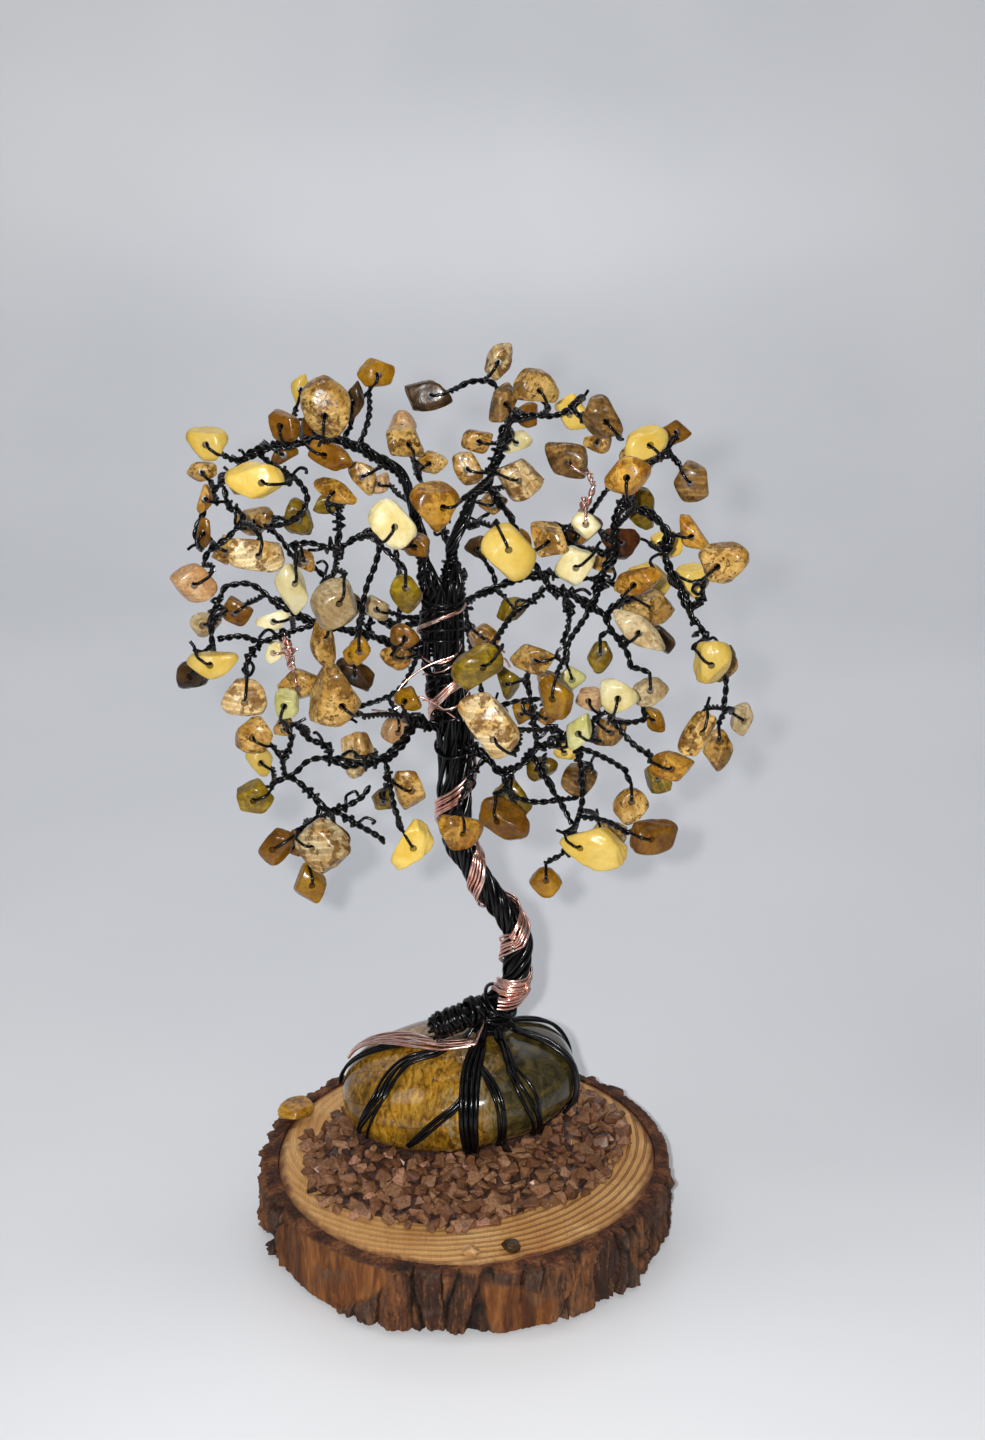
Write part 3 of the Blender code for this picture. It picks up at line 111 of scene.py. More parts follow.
# Every branch: limb, branch, wire radius and the points it passes through
BRANCHES = (
    ("left_arch", "arch", 1.7, (
        (-4, 12, 134), (-8, 11, 140), (-8.5, 10, 147), (-9, 9, 153), (-12, 5, 164), (-18, 2, 169),
        (-24, 0, 172),
        (-31, 0, 172), (-38, 2, 170), (-43, 3, 168), (-47, 4, 163), (-51, 4, 158), (-53, 3, 154),
        (-51, 1, 150))),
    ("left_arch", "arch_web", 1.0, (
        (-40, 3, 169), (-36, -1, 167), (-32, -3, 165), (-30, -4, 162), (-31, -4, 159),
        (-35, -2, 156), (-39, 0, 155))),
    ("left_arch", "arch_tail", 1.0, (
        (-47, 4, 162), (-46, 2, 159), (-43, 0, 157), (-46, 0, 153), (-50, 0, 150), (-51, -1, 147.5))),
    ("left_upper", "upper", 1.4, (
        (-8.6, 9.5, 149), (-11, 6.5, 151.5), (-14, 4, 153), (-17, 1, 154), (-21, -2, 153), (-25, -3, 152),
        (-29, -3, 152), (-34, -3, 152))),
    ("left_upper", "upper_riser", 0.9, ((-24, -3, 153), (-24, -3, 157), (-24, -3, 161))),
    ("left_upper", "upper_drop", 0.9, ((-24, -3, 152), (-24, -8, 151), (-24, -14, 150))),
    ("left_upper", "upper_long", 0.9, ((-16, 2, 153), (-17, 0, 148), (-19, -2, 143), (-20, -3, 138))),
    ("left_mid", "mid", 1.4, (
        (-6, 12, 126), (-14, 10, 128), (-21, 7, 131), (-31, 3, 135), (-35, 1, 138), (-40, -1, 142),
        (-44, -3, 144), (-47, -4, 144), (-48, -5, 141), (-49, -7, 135), (-49, -8, 133))),
    ("left_mid", "mid_cross", 0.9, (
        (-29, 4, 134), (-36, 0, 133), (-40, -2, 132), (-44, -5, 134), (-48, -7, 134))),
    ("left_mid", "mid_drop", 0.9, ((-40, -2, 132), (-42, -5, 130), (-43, -6.6, 127.4))),
    ("left_mid", "mid_copper", 0.8, ((-36, 0, 133), (-35, 1, 129), (-35, 2, 126))),
    ("left_low", "low", 1.6, (
        (-3, 12, 108), (-8, 8, 111), (-10, 5, 113), (-12, 2, 110), (-16, -1, 107), (-22, -4, 107),
        (-29, -5, 108), (-33, -6, 107), (-38, -7, 104))),
    ("left_low", "low_front", 1.0, ((-10, 5, 113), (-13, -1, 116), (-16, -9, 119), (-19, -16, 121))),
    ("left_low", "low_riser", 0.9, ((-27, -5, 107), (-27, -6, 111), (-31, -6, 113), (-33, -7, 116))),
    ("left_low", "low_loop", 0.9, ((-36, -6, 105), (-36, -8, 109), (-34, -10, 114), (-35, -11, 118))),
    ("left_low", "low_tip", 1.1, ((-35, -6, 105), (-31, -7, 102), (-29, -8, 99), (-30, -8, 96))),
    ("left_low", "low_right", 1.0, ((-16, -1, 107), (-15, -4, 103), (-14, -7, 99), (-13, -9, 97))),
    ("left_low", "low_zig", 0.9, ((-29, -8, 99), (-26, -7, 98), (-21, -6, 100), (-19, -4, 102))),
    ("left_low", "low_zag", 0.9, ((-26, -7, 98), (-21, -8, 95), (-17, -9, 93), (-16, -10, 92))),
    ("crown_leader", "crown", 1.9, (
        (-4, 12, 138), (-2, 12, 148), (0, 12, 154), (2, 11, 159), (5, 9, 161), (6, 8, 164),
        (7, 8, 168), (9, 8, 174), (12, 8, 175), (18, 8, 176), (21, 8, 177))),
    ("crown_leader", "crown_top", 1.0, ((9, 8, 173), (8, 12, 177), (6, 12, 181), (2, 9, 182), (-1, 7, 181))),
    ("crown_leader", "crown_end", 1.0, ((21, 8, 177), (24, 6, 175), (27, 5, 173), (30, 3, 173))),
    ("crown_leader", "crown_fall", 1.0, (
        (5, 9, 161), (9, 2, 157), (11, -2, 154), (13, -4, 150), (16, -4.5, 146))),
    ("crown_leader", "crown_front", 1.0, ((0, 12, 152), (3, 4, 155), (6, -4, 156))),
    ("crown_leader", "crown_back", 1.0, ((-2, 13, 146), (-5, 22, 151), (-8, 27, 156), (-10, 28, 160))),
    ("right_high", "high", 1.2, (
        (25.5, -4, 140), (27, -2, 143), (28, 1, 146), (30, 2, 149), (30, 3, 154), (31, 2, 160),
        (33, 0, 164), (37, 0, 168), (39, 1, 170))),
    ("right_high", "high_left", 1.0, ((30, 2, 149), (27, 4, 149), (22, 5, 150), (20, 5, 153), (23, 4, 155))),
    ("right_high", "high_copper", 0.8, ((23, 4, 155), (25, 5, 159), (26, 6, 162))),
    ("right_high", "high_front", 1.0, ((30, 3, 154), (32, -3, 158), (33, -8, 161), (32, -11, 165))),
    ("right_high", "high_tip", 0.9, ((37, 0, 168), (40, 3, 169), (42, 5, 167))),
    ("right_mid", "midr", 1.3, (
        (16, -4.5, 146), (17.5, -5, 143.5), (21, -5, 142.5), (25, -4, 140), (28, -4, 138),
        (30, -5, 135), (32, -6, 131),
        (33, -6, 128))),
    ("right_mid", "midr_front", 1.0, (
        (16, -5, 144), (14, -7, 142), (10, -10, 140), (7, -15, 137), (5, -18, 135))),
    ("right_mid", "midr_drop", 1.0, ((25, -4, 140), (24, -6, 138), (21, -8, 134), (20, -8, 130))),
    ("right_mid", "midr_back", 0.9, ((20, -5, 143), (21, -2, 139), (21, 2, 134), (20, 4, 130))),
    ("right_mid", "midr_up", 0.9, ((28, -4, 138), (31, 0, 139), (34, 2, 140))),
    ("right_far", "far", 1.2, (
        (31, 2, 159), (36, -1, 158), (40, 0, 154), (40, 1, 150), (41, 1, 146), (43, 0, 143), (45, -1, 138),
        (48, 0, 132), (50, 1, 128), (52, 0, 125), (53, -2, 118))),
    ("right_far", "far_fork", 0.9, ((45, -1, 138), (47, -3, 141), (47, -5, 144), (48, -6, 147))),
    ("right_low", "lowr", 1.5, (
        (-3, 12, 105), (2, 8, 106), (5, 6, 104), (8, 4, 102), (12, 2, 105), (15, 0, 109),
        (19, -2, 110), (21, -4, 114), (25, -5, 115), (29, -6, 119))),
    ("right_low", "lowr_front", 1.0, ((20, -3, 113), (18, -6, 115), (15, -10, 116), (11, -15, 118))),
    ("right_low", "lowr_riser", 1.0, ((15, 0, 109), (14, 2, 116), (13, 3, 122), (13, 2, 125))),
    ("right_low", "lowr_fall", 1.0, ((14, 1, 107), (17, -1, 102), (20, -4, 98), (22, -7, 95))),
    ("right_low", "lowr_drop", 1.1, (
        (22, -4, 114), (23, -3, 110), (24, -4, 104), (24, -6, 99), (23, -8, 96))),
    ("right_low", "lowr_side", 0.9, (
        (8, 4, 102), (9, 2, 99), (10, 1, 98), (15, 0, 97), (20, -1, 98), (23, -5, 100))),
    ("right_low", "lowr_right", 1.0, ((23, -3, 110), (26, -3, 109), (30, -3, 107), (33, -3, 105))),
    ("right_low", "lowr_tip", 0.9, ((29, -6, 119), (30, -4, 116), (34, -2, 115), (37, 0, 115))),
    ("right_low", "lowr_tip2", 0.9, ((30, -4, 116), (34, -3, 111), (38, -3, 108))),
    ("right_low", "lowr_end", 0.9, ((23, -8, 96), (22, -5, 91), (20, -2, 86))),
    ("right_low", "lowr_end2", 0.9, ((23, -8, 97), (29, -3, 94), (33, -1, 91))),
    ("right_low", "lowr_trunk", 0.9, ((4, 6, 104), (1, 3, 101), (0, 3, 98), (-1, 3, 95))),
    ("rear_left", "rear_l", 1.4, (
        (-5, 12, 133), (-8, 20, 131), (-14, 26, 127), (-20, 29, 129), (-27, 31, 134), (-35, 29, 141),
        (-41, 26, 148))),
    ("rear_left", "rear_l2", 1.0, (
        (-8, 20, 129), (-11, 24, 119), (-15, 27, 112), (-23, 29, 108), (-28, 30, 106))),
    ("rear_left", "rear_l3", 1.0, ((-20, 29, 129), (-21, 26, 124), (-23, 22, 122))),
    ("rear_left", "rear_l4", 1.0, ((-14, 26, 127), (-14, 34, 135), (-15, 37, 141), (-16, 38, 144))),
    ("rear_right", "rear_r", 1.4, (
        (-3, 12, 136), (0, 20, 134), (4, 27, 134), (12, 32, 136), (20, 35, 136), (31, 35, 134),
        (38, 34, 132))),
    ("rear_right", "rear_r2", 1.0, (
        (0, 20, 134), (1, 28, 123), (3, 34, 112), (5, 36, 106), (12, 36, 107), (18, 35, 108))),
    ("rear_right", "rear_r3", 1.0, ((20, 35, 136), (25, 36, 146), (30, 33, 155), (34, 30, 160))),
    ("rear_right", "rear_r4", 1.0, ((0, 20, 134), (-1, 32, 138), (-4, 36, 143), (-5, 37, 148))),
)

# Every chip: its own node's name, or "" where the chip is joined to its limb; the branch that
# holds it; how it is drilled ("front" along Y, "side" across the wire, "hang" near its top end);
# its stone; centre; length, width and the tilt of its length in degrees
CHIPS = (
    ("", "arch", "side", "amber", (-17, 12, 183), 7, 6, 30),
    ("", "arch", "side", "cream", (-32, 12, 180), 6, 4, 80),
    ("chip_arch_top", "arch", "front", "jasper", (-25, -13, 181), 11, 9, -70),
    ("", "arch", "side", "dark", (-21, 3, 179), 8, 4, 80),
    ("", "crown_top", "side", "dark", (-7, 5, 180), 10, 6, -3),
    ("", "arch", "front", "russet", (-34, -5, 176), 7, 6, -30),
    ("", "arch", "side", "russet", (-36, 12, 167), 6, 4, 20),
    ("chip_arch_shoulder", "arch", "front", "cream", (-49, -2, 172), 8, 7, -30),
    ("chip_arch_front", "arch_web", "front", "cream", (-39, -12, 167), 11, 7, -5),
    ("", "arch", "side", "jasper", (-52, 9, 164), 6, 4, 10),
    ("", "arch", "side", "golden", (-50, -2, 161), 6, 3, 75),
    ("", "arch", "side", "russet", (-25, -9, 171), 9, 5, -15),
    ("", "arch", "side", "russet", (-29, 7, 173), 6, 5, -60),
    ("", "upper_riser", "side", "golden", (-24, -9, 164), 9, 4, -20),
    ("", "arch", "side", "jasper", (-20, 10, 163), 8, 5, -60),
    ("", "arch", "side", "blush", (-17, 17, 160), 5, 4, 60),
    ("", "upper_riser", "side", "olive", (-27, 7, 158), 6, 4, 10),
    ("chip_upper_ivory", "upper", "front", "ivory", (-13, -15, 159), 10, 7, -53),
    ("chip_crown_front", "crown", "front", "golden", (-5, -12, 162), 10, 9, -50),
    ("", "crown_back", "side", "blush", (-13, 32, 169), 6, 6, 20),
    ("", "crown_back", "side", "jasper", (-12, 24, 167), 9, 7, -20),
    ("", "crown_back", "side", "jasper", (-7, 33, 161), 7, 5, 10),
    ("", "upper", "side", "russet", (-9, 1, 151), 7, 5, -30),
    ("chip_upper_swing", "upper", "hang", "olive", (-11, -6, 143), 8, 6, -65),
    ("", "arch", "side", "russet", (-50, -5, 155), 6, 3, 88),
    ("chip_left_blush", "arch_tail", "front", "blush", (-52, -9, 146), 9, 7, -35),
    ("", "arch_tail", "side", "jasper", (-48, 9, 148), 6, 5, 50),
    ("chip_left_banded", "arch_tail", "front", "banded", (-39, -14, 153), 11, 6, -12),
    ("", "arch_web", "side", "olive", (-33, 7, 155), 8, 6, -70),
    ("", "upper", "side", "jasper", (-32, 8, 146), 5, 4, -50),
    ("", "upper", "side", "ivory", (-33, -8, 145), 11, 6, -75),
    ("chip_upper_sand", "upper_drop", "front", "sand", (-24, -21, 145), 10, 9, 60),
    ("", "mid", "side", "sand", (-52, 4, 134), 7, 5, 20),
    ("", "mid", "side", "russet", (-46, 6, 136), 6, 5, -40),
    ("chip_mid_cream", "mid", "front", "cream", (-48, -16, 132), 10, 6, 10),
    ("", "mid", "side", "dark", (-54, -1, 125), 8, 6, 40),
    ("chip_mid_banded", "mid_drop", "front", "banded", (-43, -11, 123), 9, 8, -20),
    ("", "mid_cross", "side", "ivory", (-39, 10, 133), 7, 4, 20),
    ("", "mid_copper", "side", "ivory", (-39, 11, 126), 5, 4, 60),
    ("", "low_loop", "front", "celadon", (-34, -17, 124), 6, 5, 80),
    ("", "mid_copper", "side", "jasper", (-34, 7, 120), 9, 7, 15),
    ("", "low_loop", "side", "jasper", (-42, -4, 113), 9, 7, 35),
    ("", "low_riser", "side", "jasper", (-37, 6, 111), 5, 4, 60),
    ("", "low", "side", "cream", (-42, 3, 105), 7, 5, -60),
    ("", "low", "front", "olive", (-42, -10, 102), 8, 7, 0),
    ("", "low_tip", "front", "russet", (-38, -9, 91), 8, 6, 60),
    ("", "low_tip", "side", "russet", (-35, 2, 87), 7, 5, 70),
    ("chip_low_banded", "low_tip", "front", "banded", (-28, -16, 94), 10, 9, -40),
    ("", "low_tip", "side", "amber", (-32, -3, 80), 9, 7, -80),
    ("", "upper_drop", "side", "jasper", (-27, -10, 134), 11, 5, -85),
    ("chip_low_front", "low_front", "front", "jasper", (-24, -25, 128), 12, 10, 70),
    ("", "upper_long", "side", "amber", (-20, -11, 133), 6, 4, 80),
    ("", "upper_long", "side", "amber", (-22, 0, 129), 5, 4, 60),
    ("", "rear_l", "side", "sand", (-18, 16, 134), 6, 5, -50),
    ("", "rear_l3", "side", "dark", (-23, 17, 119), 9, 6, -30),
    ("", "rear_l2", "side", "jasper", (-14, 18, 123), 7, 6, 10),
    ("", "mid", "side", "russet", (-12, 5, 131), 6, 5, -20),
    ("", "low", "side", "amber", (-11, -5, 121), 6, 5, -15),
    ("", "rear_l2", "side", "blush", (-15, 22, 105), 6, 6, 0),
    ("", "low", "side", "banded", (-22, 5, 106), 11, 7, 88),
    ("", "low_right", "side", "jasper", (-11, 0, 100), 9, 6, -75),
    ("", "low_right", "side", "olive", (-17, 6, 95), 5, 5, -40),
    ("chip_low_cream", "low_right", "front", "cream", (-10, -16, 94), 11, 7, 65),
    ("", "crown_top", "front", "banded", (7, 8, 186), 8, 5, 60),
    ("chip_crown_top", "crown", "front", "jasper", (14, -5, 183), 9, 7, -15),
    ("", "crown_top", "side", "striped", (8, 2, 179), 8, 5, 70),
    ("", "crown", "side", "russet", (13, 17, 174), 6, 5, 0),
    ("", "crown", "side", "ivory", (11, 19, 168), 7, 4, 30),
    ("", "crown", "side", "cream", (22, 19, 174), 8, 6, -50),
    ("", "crown_end", "front", "striped", (27, -3, 177), 9, 7, -55),
    ("", "crown_end", "side", "jasper", (27, 13, 169), 6, 4, 5),
    ("", "high_copper", "side", "striped", (21, 12, 166), 10, 7, -15),
    ("chip_high_cream", "high", "front", "cream", (35, -8, 173), 9, 6, 15),
    ("", "high_tip", "side", "russet", (42, 9, 172), 7, 5, -5),
    ("chip_high_golden", "high_front", "front", "golden", (31, -18, 169), 9, 7, 25),
    ("", "high_tip", "side", "striped", (45, 5, 163), 8, 7, -70),
    ("", "crown", "side", "jasper", (3, 0, 172), 6, 5, 0),
    ("", "crown", "side", "jasper", (1, 3, 166), 7, 5, -60),
    ("", "crown", "front", "banded", (11, 2, 164), 9, 8, -35),
    ("", "crown", "side", "amber", (14, 23, 159), 5, 4, 0),
    ("", "crown", "side", "jasper", (6, 20, 155), 6, 5, 10),
    ("chip_crown_cream", "crown_front", "front", "cream", (9, -17, 154), 11, 8, -45),
    ("", "crown_fall", "front", "jasper", (17, -7, 154), 9, 7, -30),
    ("chip_high_swing", "high_copper", "hang", "ivory", (24, -3, 156), 6, 5, -30),
    ("", "high_left", "front", "ivory", (22, -3, 148), 8, 7, 75),
    ("", "high", "side", "jasper", (29, 18, 143), 5, 4, 0),
    ("", "high", "side", "maroon", (32, 12, 149), 8, 7, -20),
    ("", "high", "side", "olive", (36, 13, 156), 10, 6, -70),
    ("", "far", "side", "cream", (42, 18, 147), 7, 6, -40),
    ("", "far", "side", "golden", (45, -3, 154), 9, 5, -50),
    ("chip_right_golden", "far_fork", "front", "jasper", (50, -12, 151), 10, 8, 10),
    ("", "far", "side", "cream", (47, 12, 141), 8, 7, -35),
    ("", "midr_up", "side", "golden", (34, -8, 146), 10, 5, 20),
    ("", "midr_up", "side", "jasper", (38, 9, 136), 11, 7, 5),
    ("", "rear_r", "side", "dark", (3, 31, 143), 6, 5, 0),
    ("", "rear_r", "side", "olive", (10, 25, 131), 7, 5, 20),
    ("", "midr", "side", "sand", (34, -15, 138), 12, 5, -38),
    ("", "rear_r", "side", "dark", (42, 25, 124), 7, 5, -50),
    ("", "rear_r2", "side", "jasper", (4, 21, 126), 7, 6, 0),
    ("chip_mid_olive", "midr_front", "front", "olive", (3, -22, 133), 10, 7, 30),
    ("", "rear_r2", "side", "maroon", (-4, 36, 114), 6, 5, 0),
    ("chip_low_gold", "lowr_front", "front", "banded", (5, -24, 122), 13, 9, -50),
    ("", "midr_drop", "side", "jasper", (14, -4, 129), 9, 6, 0),
    ("", "midr_drop", "front", "amber", (18, -13, 124), 9, 7, -65),
    ("", "lowr_riser", "side", "olive", (9, 12, 119), 7, 5, -80),
    ("", "lowr_riser", "side", "amber", (12, 10, 113), 5, 5, 0),
    ("", "lowr_riser", "side", "golden", (17, 10, 112), 4, 4, 0),
    ("", "midr_back", "side", "celadon", (22, 9, 121), 6, 5, -20),
    ("", "lowr", "side", "blush", (26, 7, 117), 6, 5, 0),
    ("", "lowr", "side", "striped", (30, 5, 111), 8, 6, 40),
    ("chip_right_ivory", "lowr", "front", "ivory", (30, -18, 126), 8, 7, -30),
    ("chip_mid_swing_right", "midr", "hang", "sand", (37, -7, 123), 8, 6, 20),
    ("chip_mid_swing", "midr", "hang", "olive", (27, -7.5, 130.5), 7, 5, 75),
    ("chip_far_cream", "far", "front", "cream", (49, -9, 130), 9, 7, 85),
    ("", "lowr", "side", "celadon", (23, -13, 117), 8, 5, 70),
    ("", "lowr", "side", "cream", (21, 6, 106), 5, 4, 0),
    ("", "lowr_tip", "front", "amber", (39, 3, 114), 6, 4, -55),
    ("", "lowr_tip2", "front", "golden", (42, -6, 107), 9, 6, -5),
    ("", "lowr_tip2", "side", "olive", (40, 4, 101), 7, 5, -70),
    ("chip_right_swing", "lowr_right", "hang", "jasper", (34, -5, 98), 8, 7, 60),
    ("", "lowr_drop", "side", "striped", (24, 8, 99), 8, 7, 20),
    ("", "lowr_fall", "side", "olive", (16, 9, 101), 7, 5, 15),
    ("", "lowr_side", "side", "olive", (10, 9, 94), 9, 7, -55),
    ("chip_low_russet", "lowr_side", "front", "russet", (8, -8, 96), 11, 8, -35),
    ("chip_low_ivory", "lowr_drop", "front", "cream", (26, -17, 94), 13, 9, -5),
    ("", "lowr_end2", "side", "russet", (39, 1, 89), 11, 7, -5),
    ("chip_drop_swing", "lowr_end", "hang", "amber", (17, 0, 79), 7, 7, 0),
    ("", "lowr_trunk", "side", "golden", (-1, 2, 90), 10, 8, -20),
    ("", "far", "side", "jasper", (48, 5, 110), 10, 6, 60),
    ("chip_far_swing", "far", "hang", "jasper", (51, -7, 111), 9, 6, 85),
    ("", "far", "side", "sand", (57, 6, 113), 7, 5, 65),
    ("", "rear_l", "side", "jasper", (-28, 38, 128), 10, 8, 30),
    ("", "rear_l2", "side", "cream", (-29, 34, 108), 10, 8, -40),
    ("", "rear_r4", "side", "jasper", (-6, 40, 151), 9, 8, 20),
    ("", "rear_r", "side", "golden", (10, 41, 140), 10, 8, 60),
    ("", "rear_r", "side", "cream", (40, 38, 134), 10, 7, -30),
    ("", "rear_r2", "side", "olive", (5, 39, 101), 10, 8, 40),
    ("", "rear_r2", "side", "jasper", (19, 37, 110), 9, 7, -20),
    ("", "arch", "side", "cream", (-28, 20, 173), 9, 7, -20),
    ("", "rear_r3", "side", "jasper", (37, 31, 163), 9, 7, 30),
    ("", "rear_l4", "side", "russet", (-16, 41, 146), 10, 7, -50),
    ("", "rear_l", "side", "jasper", (-44, 27, 150), 8, 6, 20),
    ("", "arch", "side", "jasper", (-44, 18, 160), 9, 6, 0),
    ("", "far", "side", "jasper", (54, 15, 122), 8, 6, 70),
    ("", "lowr_drop", "side", "jasper", (30, 8, 86), 9, 7, 20),
    ("", "low_tip", "side", "golden", (-28, 6, 86), 8, 7, -30),
    ("", "rear_r3", "side", "russet", (25, 39, 145), 9, 6, 40),
)

# Flats worn along a chip's outline: the way each one faces, in degrees seen from the front with 0 to
# the right and 90 up, and how deep it lies, where 1 just touches the unworn ball
FACETS = {
    "chip_arch_top": ((200, 0.80), (340, 0.74), (60, 0.85)),
    "chip_arch_front": ((115, 0.60), (235, 0.62), (310, 0.72), (75, 0.76), (20, 0.85)),
    "chip_arch_shoulder": ((90, 0.62), (215, 0.74), (325, 0.70)),
    "chip_upper_ivory": ((37, 0.76), (217, 0.76), (127, 0.90), (307, 0.90)),
    "chip_crown_front": ((90, 0.74), (215, 0.66), (325, 0.66)),
    "chip_left_blush": ((120, 0.68), (30, 0.76), (300, 0.78), (210, 0.80)),
    "chip_left_banded": ((80, 0.66), (260, 0.70), (170, 0.85), (10, 0.86)),
    "chip_upper_sand": ((100, 0.80), (20, 0.74), (200, 0.76), (290, 0.78)),
    "chip_mid_cream": ((88, 0.52), (225, 0.62), (320, 0.64)),
    "chip_mid_banded": ((270, 0.74), (10, 0.80), (150, 0.70)),
    "chip_low_front": ((40, 0.60), (165, 0.62), (300, 0.80), (250, 0.86)),
    "chip_low_cream": ((150, 0.60), (45, 0.76), (335, 0.80), (290, 0.64)),
    "chip_low_banded": ((45, 0.74), (135, 0.74), (225, 0.70), (315, 0.76)),
    "chip_crown_top": ((265, 0.60), (30, 0.80), (150, 0.78)),
    "chip_high_cream": ((100, 0.80), (290, 0.66), (200, 0.85)),
    "chip_high_golden": ((60, 0.80), (150, 0.80), (240, 0.84), (330, 0.74)),
    "chip_crown_cream": ((45, 0.76), (225, 0.70)),
    "chip_right_golden": ((100, 0.84), (200, 0.78), (330, 0.80)),
    "chip_mid_olive": ((120, 0.76), (300, 0.70)),
    "chip_low_gold": ((40, 0.76), (215, 0.56), (310, 0.86)),
    "chip_right_ivory": ((60, 0.66), (300, 0.66), (185, 0.70)),
    "chip_far_cream": ((180, 0.70), (90, 0.80), (0, 0.85), (315, 0.64)),
    "chip_low_russet": ((60, 0.70), (240, 0.64), (170, 0.86), (290, 0.76)),
    "chip_low_ivory": ((120, 0.64), (40, 0.80), (0, 0.86), (280, 0.74), (225, 0.64)),
}
HANGING_FACETS = ((35, 0.86), (150, 0.86), (225, 0.74), (320, 0.76))

def smooth_route(points, step=STEP_ALONG_WIRE):
    """A Catmull-Rom curve through the points, with a point about every step."""
    knots = [Vector(p) for p in points]
    if len(knots) == 2:
        return knots
    ends = [knots[0] * 2 - knots[1], *knots, knots[-1] * 2 - knots[-2]]
    route = []
    for a, b, c, d in zip(ends, ends[1:], ends[2:], ends[3:]):
        pieces = max(1, round((c - b).length / step))
        for i in range(pieces):
            t = i / pieces
            route.append(0.5 * (2 * b + (c - a) * t + (2 * a - 5 * b + 4 * c - d) * t * t
                                + (3 * b - 3 * c + d - a) * t ** 3))
    route.append(knots[-1])
    return route


def nearest_on_route(route, target):
    """The point of the route that is nearest to the target."""
    best = route[0]
    for a, b in zip(route, route[1:]):
        along = (target - a).dot(b - a) / (b - a).length_squared
        point = a.lerp(b, min(1.0, max(0.0, along)))
        if (point - target).length < (best - target).length:
            best = point
    return best


def wood_radius(angle):
    return WOOD_RADIUS * (1 - 0.018 * math.cos(2 * angle) + 0.008 * math.sin(3 * angle + 1))


def boulder_turn():
    return Matrix.Rotation(-BOULDER_DIP, 3, "Y")


def on_boulder(place, lift):
    """The place moved in or out from the boulder's centre until it is lifted off its surface."""
    local = boulder_turn().inverted() @ (Vector(place) - BOULDER_CENTRE)
    size = sum(abs(c / h) ** BOULDER_FULLNESS for c, h in zip(local, BOULDER_HALF))
    surface = local * size ** (-1 / BOULDER_FULLNESS)
    slope = Vector([math.copysign(abs(c / h) ** (BOULDER_FULLNESS - 1) / h, c)
                    for c, h in zip(surface, BOULDER_HALF)]).normalized()
    return BOULDER_CENTRE + boulder_turn() @ (surface + slope * lift)


def gravel_reach(angle):
    """How far the crushed stone goes; it draws back from the loose stone at the left rear."""
    reach = GRAVEL_REACH * (1 + 0.04 * math.sin(3 * angle + 2) + 0.03 * math.sin(7 * angle))
    return reach * (0.86 if math.cos(angle - math.radians(158)) > 0.93 else 1.0)


def trunk_route():
    """The trunk's centre and radius, a point about every 4 mm."""
    centres = smooth_route([place for place, _ in TRUNK])
    heights = [place[2] for place, _ in TRUNK]
    radii = []
    for centre in centres:
        i = max(1, next((k for k, h in enumerate(heights) if h >= centre.z), len(heights) - 1))
        share = (centre.z - heights[i - 1]) / (heights[i] - heights[i - 1])
        share = min(1.0, max(0.0, share))
        radii.append(TRUNK[i - 1][1] * (1 - share) + TRUNK[i][1] * share)
    return centres, radii


def trunk_at(height):
    """Centre, direction and radius of the trunk at a height."""
    centres, radii = trunk_route()
    i = next((k for k, c in enumerate(centres) if c.z >= height), len(centres) - 1)
    a, b = centres[i - 1], centres[i]
    share = (height - a.z) / (b.z - a.z)
    return a.lerp(b, share), (b - a).normalized(), radii[i - 1] * (1 - share) + radii[i] * share


def around_trunk(height, angle):
    """Centre of the trunk at a height, the direction out of it at an angle from +X, and its radius."""
    centre, along, radius = trunk_at(height)
    right = (Vector((1, 0, 0)) - along * along.x).normalized()
    return centre, right * math.cos(angle) + along.cross(right) * math.sin(angle), radius


def ribbon_point(turns):
    """The middle of the ribbon after some turns, and the direction away from the trunk."""
    i = next((k for k, (_, t) in enumerate(RIBBON) if t >= turns), len(RIBBON) - 1)
    i = max(1, i)
    (h0, t0), (h1, t1) = RIBBON[i - 1], RIBBON[i]
    height = h0 + (h1 - h0) * (turns - t0) / (t1 - t0)
    centre, out, radius = around_trunk(height, 2 * math.pi * turns - math.pi / 2)
    return centre + out * (radius + GAP + RIBBON_THICKNESS), out


def chip_turn(seed, tilt):
    """Length up the tilt, thickness towards the front, turned a little about the vertical."""
    yaw = math.radians(random.Random(seed + 500).uniform(-22, 22))
    return Matrix.Rotation(yaw, 3, "Z") @ Matrix.Rotation(-math.radians(tilt), 3, "Y")


def reach_along(half, turn, direction):
    """How far the chip's ball reaches in a direction."""
    return math.sqrt(sum((h * direction.dot(turn.col[i])) ** 2 for i, h in enumerate(half)))


# Wires ------------------------------------------------------------------------------------------

FINE_STEP = 0.35                # spacing of the points on a strand
PAIR_RADIUS = 0.62              # two strands twisted together
PAIR_PITCH = 3.8
ROPE_PITCH = 13.0               # length of one turn of the pairs in a branch
TRUNK_STRAND = 0.5
SHEATH_LAY = 22.0               # length of one turn of the trunk's strands along a branch
COPPER_STRAND = 0.3
BLACK, COPPER = 0, 1            # material slots of every wire piece


def moving_frames(route):
    """Two directions across the route at each point, which turn as little as they can."""
    ahead = [(b - a).normalized() for a, b in zip(route, route[1:])]
    ahead.append(ahead[-1])
    right = ahead[0].orthogonal().normalized()
    frames = []
    for direction in ahead:
        right = (right - direction * right.dot(direction)).normalized()
        frames.append((right, direction.cross(right)))
    return frames


